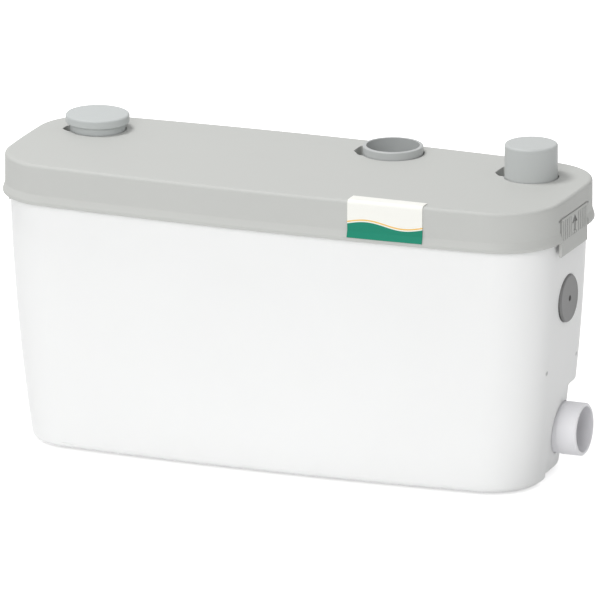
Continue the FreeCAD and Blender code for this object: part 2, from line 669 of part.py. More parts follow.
def inlet_collar():
    place = Vector(INLET_X, INLET_Y, 0)
    spout_at = Vector(INLET_X, INLET_Y - SPOUT_OFFSET, COLLAR_Z - SPOUT_LENGTH)
    top = COVER_TOP + COLLAR_PROUD
    body = rod(COLLAR_R, top - COLLAR_Z, place + Vector(0, 0, COLLAR_Z))
    body = body.makeFillet(0.9, outer_wires(body, top))
    body = body.fuse(rod(SPOUT_RADIUS + SPOUT_WALL, SPOUT_LENGTH + 1, spout_at))
    stop_z = COLLAR_Z + COLLAR_FLOOR
    body = body.cut([rod(PIPE_RADIUS, top - stop_z, place + Vector(0, 0, stop_z)),
                     rod(SPOUT_RADIUS, SPOUT_LENGTH + 9, spout_at)])
    return body


def inlet_seal():
    place = Vector(INLET_X, INLET_Y, POCKET_Z)
    spout_at = Vector(INLET_X, INLET_Y - SPOUT_OFFSET, POCKET_Z)
    return rod(COLLAR_R, SEAL_THICK, place).cut(
        rod(SPOUT_RADIUS + SPOUT_WALL + HOLE_FIT, SEAL_THICK, spout_at))


def blanked_socket():
    """Socket clipped in from below, level with the cover, with a spout like the inlet's."""
    place = Vector(BLANKED_X, BLANKED_Y, 0)
    flange_z = POCKET_Z - POCKET_FLOOR - SOCKET_FLANGE
    top = UNDERSIDE_Z - 0.3
    tube = rod(COLLAR_R, top - flange_z, place + Vector(0, 0, flange_z))
    flange = rod(COLLAR_R + SOCKET_LIP, SOCKET_FLANGE, place + Vector(0, 0, flange_z))
    spout = rod(SPOUT_RADIUS + SPOUT_WALL, BLANKED_SPOUT + 1,
                place + Vector(0, 0, flange_z - BLANKED_SPOUT))
    body = fuse([tube, flange, spout])
    stop_z = UNDERSIDE_Z - CAP_INSERT - 0.4
    return body.cut([rod(PIPE_RADIUS, top - stop_z, place + Vector(0, 0, stop_z)),
                     rod(SPOUT_RADIUS, COVER_LENGTH, place + Vector(0, 0, flange_z - BLANKED_SPOUT - 1))])


def blanking_cap():
    place = Vector(BLANKED_X, BLANKED_Y, 0)
    low = UNDERSIDE_Z - CAP_INSERT
    top = COVER_TOP + CAP_PROUD
    radius = PIPE_RADIUS - PIPE_FIT
    body = rod(radius, top - low, place + Vector(0, 0, low))
    body = body.makeFillet(CAP_EDGE_R, outer_wires(body, top))
    core = rod(radius - CAP_WALL, top - CAP_WALL - low, place + Vector(0, 0, low))
    core = core.makeFillet(CAP_EDGE_R * 0.6, outer_wires(core, top - CAP_WALL))
    return body.cut(core)


def vent_seat():
    place = Vector(VENT_X, VENT_Y, 0)
    top = COVER_TOP + VENT_NECK_PROUD
    ledge_z = POCKET_Z + 4.0
    body = rod(VENT_NECK_R, top - POCKET_Z, place + Vector(0, 0, POCKET_Z))
    cuts = [rod(BASKET_R + 2 * HOLE_FIT, top - POCKET_Z, place + Vector(0, 0, POCKET_Z)),
            rod(VENT_BORE_R, top - ledge_z, place + Vector(0, 0, ledge_z))]
    cuts.extend(vent_slots(ledge_z + 2.5, COVER_TOP - 1.0))
    return body.cut(cuts)


def vent_slots(z0, z1):
    slots = []
    for i in range(VENT_SLOTS // 2):
        slot = block(-VENT_NECK_R - 2, VENT_NECK_R + 2, -2.2, 2.2, z0, z1)
        slot.rotate(Vector(0, 0, 0), Z, i * 360.0 / VENT_SLOTS)
        slot.translate(Vector(VENT_X, VENT_Y, 0))
        slots.append(slot)
    return slots


def vent_cap():
    """Mushroom cap: shallow dome, rounded edge and a split spigot that enters the neck."""
    z0 = COVER_TOP + VENT_NECK_PROUD
    z1 = z0 + VENT_CAP_THICK
    place = Vector(VENT_X, VENT_Y, z0)
    ball_r = bow_radius(VENT_CAP_R, VENT_CAP_DOME)
    ball = Part.makeSphere(ball_r, Vector(VENT_X, VENT_Y, z1 - ball_r))
    head = rod(VENT_CAP_R, VENT_CAP_THICK + 1, place).common(ball)
    rim = [e for e in head.Edges if abs(e.BoundBox.ZMin - z1 + VENT_CAP_DOME) < 0.01
           and e.BoundBox.ZLength < 0.01]
    head = head.makeFillet(VENT_CAP_EDGE_R, rim)
    head = head.makeFillet(0.7, outer_wires(head, z0))
    dish = rod(VENT_BORE_R - 2.5, 2.6, place)
    spigot = ring(VENT_BORE_R - VENT_FIT, VENT_BORE_R - 2.5, 6.0, place - Vector(0, 0, 6.0))
    spigot = spigot.cut(vent_slots(z0 - 7, z0 - 1.2))
    return head.cut(dish).fuse(spigot)


def filter_basket():
    top = POCKET_Z + 4.0
    place = Vector(VENT_X, VENT_Y, top)
    body = rod(BASKET_R, BASKET_DEPTH, place - Vector(0, 0, BASKET_DEPTH))
    lip = rod(VENT_BORE_R - HOLE_FIT, 1.8, place)
    inner = BASKET_R - BASKET_WALL
    body = body.fuse(lip).cut(rod(inner, BASKET_DEPTH + 9, place - Vector(0, 0, BASKET_DEPTH - 2)))
    cuts = []
    for i in range(4):
        slot = block(-30, 30, -2.5, 2.5, top - BASKET_DEPTH + 6, top - 6)
        slot.rotate(Vector(0, 0, 0), Z, 22.5 + i * 45.0)
        slot.translate(Vector(VENT_X, VENT_Y, 0))
        cuts.append(slot)
    for i in range(-2, 3):
        length = 10 - abs(i) * 2
        cuts.append(block(VENT_X - length, VENT_X + length, VENT_Y + i * 4.5 - 1,
                          VENT_Y + i * 4.5 + 1, top - BASKET_DEPTH - 1, top - BASKET_DEPTH + 3))
    return body.cut(cuts)


def carbon_cartridge():
    low = POCKET_Z + 4.0 - BASKET_DEPTH + 2.0
    radius = BASKET_R - BASKET_WALL - 0.3
    body = rod(radius, BASKET_DEPTH - 8, Vector(VENT_X, VENT_Y, low))
    grip = rod(4, 6, Vector(VENT_X, VENT_Y, low + BASKET_DEPTH - 8.5))
    return body.fuse(grip)


# Side inlet


def plug_seat_x():
    return end_wall_x(SIDE_AXIS_Z) - PLUG_SEAT


def side_inlet_socket():
    inner_x = plug_seat_x() - SIDE_SOCKET_LENGTH - PLUG_DEPTH
    outer_r = SIDE_BORE_R + SIDE_SOCKET_WALL - HOLE_FIT
    body = rod(outer_r, plug_seat_x() - inner_x, Vector(inner_x, SIDE_Y, SIDE_AXIS_Z), X)
    flange_x = end_wall_x(SIDE_AXIS_Z) - PLUG_DEPTH - PLUG_SEAT
    body = body.fuse(rod(outer_r + 3, 3, Vector(flange_x - 3, SIDE_Y, SIDE_AXIS_Z), X))
    bore_x = inner_x + 3
    body = body.cut([rod(SIDE_BORE_R, 90, Vector(bore_x, SIDE_Y, SIDE_AXIS_Z), X),
                     rod(SIDE_BORE_R - 3, 90, Vector(inner_x - 1, SIDE_Y, SIDE_AXIS_Z), X)])
    pin = side_pin_at(0)
    ears = []
    for side in (-1, 1):
        y = SIDE_Y + side * 7.0
        ear = block(pin.x - 2.6, inner_x + 6, y - 1.5, y + 1.5, pin.z - 2.6, pin.z + 2.8)
        ears.append(ear)
    body = body.fuse(ears)
    return body.cut([rod(FLAP_PIN_R, 30, pin - Vector(0, 15, 0), Y),
                     rod(SIDE_BORE_R, 9, Vector(bore_x, SIDE_Y, SIDE_AXIS_Z), X)])


def side_pin_at(y_off):
    inner_x = plug_seat_x() - SIDE_SOCKET_LENGTH - PLUG_DEPTH
    return Vector(inner_x - 3.4, SIDE_Y + y_off, SIDE_AXIS_Z + SIDE_BORE_R + 1.4)


def side_flap_pin():
    return rod(FLAP_PIN_R, 20, side_pin_at(-10), Y)


def hinged_flap(radius, seat_x, way, y, z, pin, knuckle):
    """Round flap that hangs by an arm on its pin; a boss on its back brings its weight under it."""
    near = seat_x + way * 0.3
    back = near + way * FLAP_THICK
    disc = rod(radius, FLAP_THICK, Vector(min(near, back), y, z), X)
    boss = rod(FLAP_BOSS_R, FLAP_BOSS, Vector(min(back, back + way * FLAP_BOSS), y, z), X)
    arm = block(min(near, back), max(near, back), y - knuckle / 2, y + knuckle / 2, z, pin.z)
    barrel = rod(FLAP_PIN_R + 1.5, knuckle, Vector(pin.x, y - knuckle / 2, pin.z), Y)
    body = fuse([disc, boss, arm, barrel])
    return body.cut(rod(FLAP_PIN_R + SHAFT_FIT, 2 * knuckle, Vector(pin.x, y - knuckle, pin.z), Y))


def side_flap():
    inner_x = plug_seat_x() - SIDE_SOCKET_LENGTH - PLUG_DEPTH
    return hinged_flap(SIDE_BORE_R - 1, inner_x, -1, SIDE_Y, SIDE_AXIS_Z, side_pin_at(0), 10)


def side_plug():
    """Rubber plug: a short hollow body in the bore and a soft domed flange outside."""
    x0 = plug_seat_x()
    proud = x0 + PLUG_SEAT + PLUG_PROUD
    flange = rod(PLUG_R, proud - x0, Vector(x0, SIDE_Y, SIDE_AXIS_Z), X)
    face = [e for e in flange.Edges if len(e.Vertexes) == 1 and e.BoundBox.XMin > proud - 0.1]
    flange = flange.makeFillet(1.3, face)
    body = rod(SIDE_BORE_R - PLUG_FIT, PLUG_DEPTH, Vector(x0 - PLUG_DEPTH, SIDE_Y, SIDE_AXIS_Z), X)
    plug = flange.fuse(body)
    hollow = rod(SIDE_BORE_R - 3, PLUG_DEPTH - 2, Vector(x0 - PLUG_DEPTH, SIDE_Y, SIDE_AXIS_Z), X)
    dimple = rod(PLUG_DIMPLE_R, 2, Vector(proud - 0.7, SIDE_Y, SIDE_AXIS_Z), X)
    return plug.cut([hollow, dimple])


# Pump


def volute_plan(grow):
    """Plan of the pump's passage, or of its casing when grown: a four-arc spiral and nozzle."""
    step = VOLUTE_GROWTH
    half = step / 2
    top = DISCHARGE_Y + PASSAGE / 2
    radii = [top - half - step * i + grow for i in range(4)]
    centres = [Vector(half, half, 0), Vector(-half, half, 0), Vector(-half, -half, 0),
               Vector(half, -half, 0)]
    low = DISCHARGE_Y - PASSAGE / 2 - grow
    reach = radii[0] + 2
    tongue_x = half + math.sqrt(radii[3] ** 2 - (low + half) ** 2)
    tongue = math.atan2(low + half, tongue_x - half)
    edges = []
    turns = [(90, 180), (180, 270), (270, 360), (360, 360 + math.degrees(tongue))]
    for centre, radius, (start, end) in zip(centres, radii, turns):
        a, b = math.radians(start), math.radians(end)
        points = [centre + polar(radius, angle) for angle in (a, (a + b) / 2, b)]
        edges.append(Part.Arc(*points).toShape())
    last = Vector(tongue_x, low, 0)
    corners = [last, Vector(reach, low, 0), Vector(reach, top + grow, 0),
               Vector(half, top + grow, 0)]
    for a, b in zip(corners, corners[1:]):
        edges.append(Part.makeLine(a, b))
    plan = Part.Face(Part.Wire(Part.__sortEdges__(edges)))
    plan.translate(Vector(PUMP_X, 0, 0))
    return plan


def casing_screw_places(z):
    return [Vector(PUMP_X, 0, z) + polar(BACKPLATE_R - 5, math.radians(a))
            for a in (-20, -90, -150, 160, 100)]


def pump_volute():
    """Lower pump casing: spiral passage, suction eye, tangential nozzle and three feet."""
    height = CASING_TOP_Z - CASING_FOOT_Z
    shell = volute_plan(PUMP_WALL)
    shell.translate(Vector(0, 0, CASING_FOOT_Z))
    shell = shell.extrude(Vector(0, 0, height))
    shell = shell.makeFillet(2.0, outer_wires(shell, CASING_FOOT_Z))
    nozzle = rod(NOZZLE_R, NOZZLE_REACH - 20, Vector(PUMP_X + 20, DISCHARGE_Y, AXIS_Z), X)
    rim = rod(BACKPLATE_R, 5, Vector(PUMP_X, 0, CASING_TOP_Z - 5))
    feet = []
    for foot in pump_feet():
        pad = rod(BUSH_R, FOOT_THICK, foot + Vector(0, 0, CASING_FOOT_Z))
        inward = (Vector(PUMP_X, 0, 0) - foot).normalize()
        arm = Part.makeBox(FOOT_ARM, 2 * BUSH_R - 4, FOOT_THICK, Vector(0, -BUSH_R + 2, 0))
        arm.rotate(Vector(0, 0, 0), Z, math.degrees(math.atan2(inward.y, inward.x)))
        arm.translate(foot + Vector(0, 0, CASING_FOOT_Z))
        feet.extend([pad, arm])
    bosses = [rod(4.2, CASING_BOSS_DEPTH, p)
              for p in casing_screw_places(CASING_TOP_Z - CASING_BOSS_DEPTH)]
    body = fuse([shell, nozzle, rim] + feet + bosses)
    passage = volute_plan(0)
    passage.translate(Vector(0, 0, CASING_FLOOR_Z))
    cuts = [passage.extrude(Vector(0, 0, PASSAGE + 1)),
            rod(NOZZLE_BORE_R, NOZZLE_REACH, Vector(PUMP_X + 10, DISCHARGE_Y, AXIS_Z), X),
            rod(BACKPLATE_R + 3.5, PASSAGE, Vector(PUMP_X, 0, CASING_TOP_Z)),
            rod(EYE_R, PUMP_WALL + 2, Vector(PUMP_X, 0, CASING_FOOT_Z - 1))]
    cuts.extend(screw_holes([f + Vector(0, 0, CASING_FOOT_Z - 1) for f in pump_feet()],
                            FOOT_THICK + 2, Z))
    cuts.extend(screw_holes(casing_screw_places(CASING_TOP_Z - CASING_HOLE_DEPTH),
                            CASING_HOLE_DEPTH + 1, Z))
    return body.cut(cuts)


def pump_backplate():
    """Closes the casing from above and carries the motor and the shaft seal."""
    base = Vector(PUMP_X, 0, CASING_TOP_Z)
    body = rod(BACKPLATE_R + 3, BACKPLATE_THICK, base)
    return body.cut([rod(SHAFT_R + 5, BACKPLATE_THICK, base)]
                    + screw_holes(casing_screw_places(CASING_TOP_Z), BACKPLATE_THICK, Z)
                    + [rod(SCREW_HEAD_R + 0.4, SCREW_HEAD + 0.3,
                           p) for p in casing_screw_places(MOTOR_Z - SCREW_HEAD - 0.3)])


def casing_screws():
    return screws(casing_screw_places(MOTOR_Z - SCREW_HEAD - 0.3), CASING_SCREW_LENGTH, -Z)


def pump_bushes():
    places = [f + Vector(0, 0, CASING_FOOT_Z - BUSH_HEIGHT) for f in pump_feet()]
    return group([ring(BUSH_R, SCREW_R + HOLE_FIT, BUSH_HEIGHT, p) for p in places])


def pump_screws():
    places = [f + Vector(0, 0, CASING_FOOT_Z + FOOT_THICK) for f in pump_feet()]
    return screws(places, FOOT_THICK + BUSH_HEIGHT + PUMP_SCREW_BITE, -Z)


def suction_strainer():
    """Slotted ring under the suction eye that keeps rags out of the impeller."""
    low = FLOOR_Z + 1.5
    base = Vector(PUMP_X, 0, low)
    height = CASING_FOOT_Z - low
    body = ring(STRAINER_R, STRAINER_R - STRAINER_WALL, height, base)
    top = ring(STRAINER_R, EYE_R, STRAINER_WALL, base + Vector(0, 0, height - STRAINER_WALL))
    floor = rod(STRAINER_R, STRAINER_WALL, base)
    body = body.fuse([top, floor])
    cuts = []
    for i in range(STRAINER_SLOTS // 2):
        slot = block(-STRAINER_R - 2, STRAINER_R + 2, -2.5, 2.5, low + STRAINER_WALL,
                     CASING_FOOT_Z - STRAINER_WALL - 0.5)
        slot.rotate(Vector(0, 0, 0), Z, (i + 0.5) * 360.0 / STRAINER_SLOTS)
        slot.translate(Vector(PUMP_X, 0, 0))
        cuts.append(slot)
    return body.cut(cuts)


def blade(angle, z, height):
    """One vane, swept back from the hub to the rim between two arcs."""
    stations = [(HUB_R - 1, 0.0), ((HUB_R + IMPELLER_R) / 2, 0.62), (IMPELLER_R - 0.4, 1.05)]
    sides = []
    for sign in (-1, 1):
        sides.append([polar(r, angle + sweep + sign * BLADE_THICK / (2 * r), z)
                      for r, sweep in stations])
    edges = [Part.Arc(*sides[0]).toShape(), Part.makeLine(sides[0][2], sides[1][2]),
             Part.Arc(*reversed(sides[1])).toShape(), Part.makeLine(sides[1][0], sides[0][0])]
    vane = Part.Face(Part.Wire(edges)).extrude(Vector(0, 0, height))
    vane.translate(Vector(PUMP_X, 0, 0))
    return vane


def impeller():
    """Semi-open vortex impeller: back disc, hub and swept vanes that hang below it."""
    disc_z = CASING_TOP_Z - BLADE_GAP - IMPELLER_DISC
    low = CASING_FLOOR_Z + BLADE_GAP
    disc = rod(IMPELLER_R, IMPELLER_DISC, Vector(PUMP_X, 0, disc_z))
    hub = rod(HUB_R, disc_z - low - 6, Vector(PUMP_X, 0, low + 6))
    vanes = [blade(math.radians(i * 360.0 / BLADES), low, disc_z - low + 0.5)
             for i in range(BLADES)]
    body = fuse([disc, hub] + vanes)
    return body.cut(rod(SHAFT_R - 1, 60, Vector(PUMP_X, 0, low - 1)))


def impeller_nut():
    low = CASING_FLOOR_Z + BLADE_GAP + 2
    points = [polar(6.0, math.radians(60 * i)) for i in range(6)]
    face = polygon([(PUMP_X + p.x, p.y) for p in points], low)
    return face.extrude(Vector(0, 0, 4)).cut(rod(SHAFT_R - 1.5, 9, Vector(PUMP_X, 0, low - 1)))


def pump_shaft():
    low = CASING_FLOOR_Z + BLADE_GAP + 1.5
    nut_top = CASING_FLOOR_Z + BLADE_GAP + 6
    shoulder = CASING_TOP_Z - BLADE_GAP
    top = MOTOR_TOP + MOTOR_FLOOR - 0.8
    at = Vector(PUMP_X, 0, 0)
    return fuse([rod(SHAFT_R - 1.5, nut_top - low, at + Vector(0, 0, low)),
                 rod(SHAFT_R - 1, shoulder - nut_top, at + Vector(0, 0, nut_top)),
                 rod(SHAFT_R, top - shoulder, at + Vector(0, 0, shoulder))])


def shaft_seal():
    base = Vector(PUMP_X, 0, CASING_TOP_Z + 0.2)
    return ring(SHAFT_R + 5, SHAFT_R + 0.3, BACKPLATE_THICK - 0.2, base)


# Motor


def motor_housing():
    base = Vector(PUMP_X, 0, MOTOR_Z)
    body = rod(MOTOR_R, MOTOR_HEIGHT, base)
    ledge = rod(MOTOR_R - MOTOR_WALL, MOTOR_HEIGHT, base + Vector(0, 0, MOTOR_FLOOR))
    seat_top = MOTOR_FLOOR + BEARING_WIDTH
    seat = ring(BEARING_R + 3, BEARING_R, BEARING_WIDTH, base + Vector(0, 0, MOTOR_FLOOR))
    body = body.cut([ledge, rod(SHAFT_R + 2, seat_top, base)]).fuse(seat)
    bosses = []
    for place in motor_screw_places(MOTOR_TOP - MOTOR_BOSS_DEPTH):
        bosses.append(rod(4.0, MOTOR_BOSS_DEPTH, place).common(rod(MOTOR_R, MOTOR_HEIGHT, base)))
    body = body.fuse(bosses)
    return body.cut(screw_holes(motor_screw_places(MOTOR_TOP - MOTOR_SCREW_DEPTH - 1),
                                MOTOR_SCREW_DEPTH + 2, Z))


def motor_screw_places(z):
    return [Vector(PUMP_X, 0, z) + polar(MOTOR_R - 5, math.radians(a)) for a in (30, 150, 270)]


def motor_cap():
    """Upper end shield with the bearing seat, and a hood for the wiring."""
    base = Vector(PUMP_X, 0, MOTOR_TOP)
    plate = rod(MOTOR_R, MOTOR_FLOOR, base)
    plate = plate.makeFillet(1.5, outer_wires(plate, MOTOR_TOP + MOTOR_FLOOR))
    seat = ring(BEARING_R + 3, BEARING_R, BEARING_WIDTH, base - Vector(0, 0, BEARING_WIDTH))
    hood = rod(HOOD_R, HOOD_HEIGHT, base + Vector(0, 0, MOTOR_FLOOR - 0.5))
    hood = hood.makeFillet(4.0, outer_wires(hood, MOTOR_TOP + MOTOR_FLOOR - 0.5 + HOOD_HEIGHT))
    boss = rod(LEAD_D / 2 + 3, HOOD_R + 3, lead_points()[0] + Vector(0, 0, 0), X)
    boss = boss.cut(rod(HOOD_R - 3, 60, base))
    body = fuse([plate, seat, hood, boss])
    inside = rod(HOOD_R - 2.5, HOOD_HEIGHT - 3, base + Vector(0, 0, MOTOR_FLOOR - 0.5))
    inside = inside.cut(rod(BEARING_R + 3, 3.0, base))
    body = body.cut([inside, rod(SHAFT_R + 0.5, MOTOR_FLOOR + 2, base)])
    return body.cut(screw_holes(motor_screw_places(MOTOR_TOP - 1), MOTOR_FLOOR + 3, Z))


def motor_cap_screws():
    return screws(motor_screw_places(MOTOR_TOP + MOTOR_FLOOR),
                  MOTOR_FLOOR + MOTOR_SCREW_DEPTH, -Z)


def stator_core():
    base = Vector(PUMP_X, 0, STACK_Z)
    core = ring(MOTOR_R - MOTOR_WALL - 0.05, ROTOR_R + AIR_GAP, STACK_HEIGHT, base)
    slots = []
    for i in range(6):
        slot = block(ROTOR_R + AIR_GAP + 3, MOTOR_R - MOTOR_WALL - 6, -4, 4, STACK_Z - 1,
                     STACK_Z + STACK_HEIGHT + 1)
        slot.rotate(Vector(0, 0, 0), Z, 60.0 * i)
        slot.translate(Vector(PUMP_X, 0, 0))
        slots.append(slot)
    return core.cut(slots)


def stator_windings():
    """Coil heads above and below the stack, joined through its slots."""
    outer = MOTOR_R - MOTOR_WALL - 6
    inner = ROTOR_R + AIR_GAP + 3
    heads = []
    for z in (STACK_Z - WINDING_HEIGHT, STACK_Z + STACK_HEIGHT):
        head = ring(outer, inner, WINDING_HEIGHT, Vector(PUMP_X, 0, z))
        far = z if z < STACK_Z else z + WINDING_HEIGHT
        heads.append(head.makeFillet(3.0, outer_wires(head, far)))
    bars = []
    for i in range(6):
        bar = block(inner + 0.5, outer - 0.5, -3.7, 3.7, STACK_Z - 0.5, STACK_Z + STACK_HEIGHT + 0.5)
        bar.rotate(Vector(0, 0, 0), Z, 60.0 * i)
        bar.translate(Vector(PUMP_X, 0, 0))
        bars.append(bar)
    return fuse(heads + bars)


def rotor_core():
    base = Vector(PUMP_X, 0, STACK_Z)
    lower = ring(ROTOR_R - 2, SHAFT_R + 4, 4, base - Vector(0, 0, 4))
    upper = ring(ROTOR_R - 2, SHAFT_R + 4, 4, base + Vector(0, 0, STACK_HEIGHT))
    return fuse([ring(ROTOR_R, SHAFT_R, STACK_HEIGHT, base), lower, upper])


def bearing(z):
    """Shielded ball bearing: two rings with a stepped shield between them."""
    inner = SHAFT_R + SHAFT_FIT
    body = ring(BEARING_R - 0.02, inner, BEARING_WIDTH, Vector(PUMP_X, 0, z))
    grooves = [ring(BEARING_R - 2.5, inner + 2.5, 1.0, Vector(PUMP_X, 0, z)),
               ring(BEARING_R - 2.5, inner + 2.5, 1.0, Vector(PUMP_X, 0, z + BEARING_WIDTH - 1))]
    return body.cut(grooves)


def lower_bearing():
    return bearing(MOTOR_Z + MOTOR_FLOOR)


def upper_bearing():
    return bearing(MOTOR_TOP - BEARING_WIDTH)


# Discharge line


def discharge_sleeve():
    x0 = NOZZLE_END - VALVE_STUB
    inner = NOZZLE_R + 0.03
    return ring(inner + SLEEVE_WALL, inner, 2 * VALVE_STUB + PIPE_GAP - 1,
                Vector(x0, DISCHARGE_Y, AXIS_Z), X)


def sleeve_bands():
    """Worm-drive bands round both ends of the sleeve, each with its screw housing."""
    outer = NOZZLE_R + 0.03 + SLEEVE_WALL
    bands = []
    for x in (NOZZLE_END - VALVE_STUB + 2, VALVE_X0 + 2):
        band = ring(outer + 0.9, outer + 0.02, 7, Vector(x, DISCHARGE_Y, AXIS_Z), X)
        house = block(x + 0.5, x + 6.5, DISCHARGE_Y - 6, DISCHARGE_Y + 6, AXIS_Z + outer + 0.4,
                      AXIS_Z + outer + 5)
        worm = rod(2.0, 18, Vector(x + 3.5, DISCHARGE_Y - 9, AXIS_Z + outer + 3.2), Y)
        bands.append(fuse([band, house, worm]))
    return group(bands)


def valve_pin_at(y_off):
    return Vector(VALVE_SEAT_X + 3.4, DISCHARGE_Y + y_off, AXIS_Z + FLAP_PIN_LIFT)


def hatch_screw_places(z):
    mid = (VALVE_SEAT_X + VALVE_END_X) / 2
    return [Vector(mid + sx * 9.8, DISCHARGE_Y + sy * 10.4, z) for sx in (-1, 1) for sy in (-1, 1)]


def valve_housing():
    """Non-return valve body: stub, seat, chamber with a hatch neck above, and end flange."""
    outer_r = VALVE_BORE_R + VALVE_WALL
    axis = Vector(0, DISCHARGE_Y, AXIS_Z)
    neck_top = AXIS_Z + outer_r + 4
    x0 = VALVE_BODY_X
    x1 = VALVE_END_X
    mid = (VALVE_SEAT_X + VALVE_END_X) / 2
    neck = block(mid - 13, mid + 13, DISCHARGE_Y - 13.5, DISCHARGE_Y + 13.5, AXIS_Z, neck_top)
    upright = [e for e in neck.Edges if abs(e.BoundBox.ZLength - neck_top + AXIS_Z) < 1e-6]
    neck = neck.makeFillet(2.5, upright)
    body = fuse([rod(NOZZLE_R, VALVE_STUB + 1, axis + Vector(VALVE_X0, 0, 0), X),
                 rod(outer_r, x1 - x0, axis + Vector(x0, 0, 0), X),
                 rod(SPIGOT_FLANGE_R, 3, axis + Vector(x1 - 3, 0, 0), X), neck])
    window = block(VALVE_SEAT_X + 0.01, mid + 9, DISCHARGE_Y - 7.5, DISCHARGE_Y + 7.5, AXIS_Z,
                   neck_top + 1)
    body = body.cut([rod(NOZZLE_BORE_R, 60, axis + Vector(VALVE_X0 - 1, 0, 0), X),
                     rod(VALVE_BORE_R, 60, axis + Vector(VALVE_SEAT_X, 0, 0), X), window,
                     rod(FLAP_PIN_R, 21, valve_pin_at(-10.5), Y)])
    return body.cut(screw_holes(hatch_screw_places(neck_top - 9), 10, Z))


def valve_hatch():
    mid = (VALVE_SEAT_X + VALVE_END_X) / 2
    z = AXIS_Z + VALVE_BORE_R + VALVE_WALL + 4
    plate = block(mid - 13, mid + 13, DISCHARGE_Y - 13.5, DISCHARGE_Y + 13.5, z, z + 3)
    upright = [e for e in plate.Edges if abs(e.BoundBox.ZLength - 3) < 1e-6]
    plate = plate.makeFillet(2.5, upright)
    return plate.cut(screw_holes(hatch_screw_places(z - 1), 5, Z))


def hatch_screws():
    z = AXIS_Z + VALVE_BORE_R + VALVE_WALL + 7
    return screws(hatch_screw_places(z), 10, -Z)


def valve_pin():
    return rod(FLAP_PIN_R, 20, valve_pin_at(-10), Y)


def valve_flap():
    return hinged_flap(FLAP_R, VALVE_SEAT_X, 1, DISCHARGE_Y, AXIS_Z, valve_pin_at(0), 10)


def discharge_spigot():
    axis = Vector(0, DISCHARGE_Y, AXIS_Z)
    flange_x = SPIGOT_BOSS_X - SPIGOT_FLANGE
    tube = rod(SPIGOT_R, SPIGOT_END - flange_x, axis + Vector(flange_x, 0, 0), X)
    tip = [e for e in tube.Edges if len(e.Vertexes) == 1 and e.BoundBox.XMin > SPIGOT_END - 0.1]
    tube = tube.makeChamfer(0.8, tip)
    tube = tube.cut(ring(SPIGOT_R + 1, SPIGOT_NECK_R, SPIGOT_SHOULDER_X - flange_x,
                         axis + Vector(flange_x, 0, 0), X))
    flange = rod(SPIGOT_FLANGE_R, SPIGOT_FLANGE, axis + Vector(flange_x, 0, 0), X)
    return tube.fuse(flange).cut(rod(SPIGOT_BORE_R, 90, axis + Vector(flange_x - 1, 0, 0), X))


def spigot_seal():
    return ring(SPIGOT_R + SPIGOT_SEAL_WALL - 0.03, SPIGOT_NECK_R + 0.03, SPIGOT_SEAL_LENGTH,
                Vector(SPIGOT_BOSS_X, DISCHARGE_Y, AXIS_Z), X)


# Level sensing and electrics


def round_cord(points, diameter):
    """Tube along straight runs joined by tangent arcs; prints its radii and its volume check."""
    edges = []
    here = points[0]
    for before, at, after in zip(points, points[1:], points[2:]):
        back = before - at
        ahead = after - at
        turn = math.pi - back.getAngle(ahead)
        radius = 0.45 * min(back.Length, ahead.Length) / math.tan(turn / 2)
        reach = radius * math.tan(turn / 2)
        start = at + back.normalize() * reach
        end = at + ahead.normalize() * reach
        inward = (back + ahead).normalize()
        middle = at + inward * (radius / math.cos(turn / 2) - radius)
        edges.append(Part.makeLine(here, start))
        edges.append(Part.Arc(start, middle, end).toShape())
        here = end
        print("arc radius", round(radius, 2), "for a cord of", diameter)
    edges.append(Part.makeLine(here, points[-1]))
    path = Part.Wire(edges)
    direction = points[1] - points[0]
    section = Part.Wire(Part.makeCircle(diameter / 2, points[0], direction))
    tube = path.makePipeShell([section], True, False)
    expected = math.pi * diameter ** 2 / 4 * path.Length
    print("cord volume", round(tube.Volume, 1), "against", round(expected, 1))
    return tube


def lead_points():
    z = MOTOR_TOP + MOTOR_FLOOR + HOOD_HEIGHT / 2
    start = PUMP_X - HOOD_R - 3
    end = BOX_X1
    y1 = BOX_MID_Y - 4
    run = (start - end) / 3
    return [Vector(start, 0, z), Vector(start - run, 0, z), Vector(end + run, y1, z),
            Vector(end, y1, z)]


def motor_lead():
    return round_cord(lead_points(), LEAD_D)


def bell_arm_y():
    return BELL_Y + BELL_R + 6


def bell_arm_z():
    return FLOOR_Z + BELL_LIFT + 15


def hose_points():
    low = FLOOR_Z + BELL_LIFT + BELL_HEIGHT + 1.5
    high = BOX_FLOOR_Z - 2
    step = (high - low) / 3
    return [Vector(BELL_X, BELL_Y, low), Vector(BELL_X, BELL_Y, low + step * 0.8),
            Vector(SWITCH_X, BOX_MID_Y, high - step * 0.8), Vector(SWITCH_X, BOX_MID_Y, high)]


def air_hose():
    hose = round_cord(hose_points(), HOSE_D)
    bell_end = rod(NIPPLE_R + 0.02, 12, Vector(BELL_X, BELL_Y, hose_points()[0].z - 1))
    switch_end = rod(NIPPLE_R + 0.02, 12, hose_points()[3] - Vector(0, 0, 11))
    return hose.cut([bell_end, switch_end])


def pressure_bell():
    """Open-bottomed bell whose trapped air works the switch, with its arm and hose nipple."""
    low = FLOOR_Z + BELL_LIFT
    at = Vector(BELL_X, BELL_Y, 0)
    body = rod(BELL_R, BELL_HEIGHT, at + Vector(0, 0, low))
    body = body.makeFillet(3.0, outer_wires(body, low + BELL_HEIGHT))
    arm = block(BELL_X - 5, BELL_X + 5, BELL_Y, bell_arm_y(), bell_arm_z(), bell_arm_z() + 20)
    nipple = rod(NIPPLE_R, 10, at + Vector(0, 0, low + BELL_HEIGHT - 0.5))
    body = fuse([body, arm, nipple])
    cuts = [rod(BELL_R - 2, BELL_HEIGHT - 2.5, at + Vector(0, 0, low)),
            rod(NIPPLE_R - 0.9, 20, at + Vector(0, 0, low + BELL_HEIGHT - 5))]
    return body.cut(cuts)


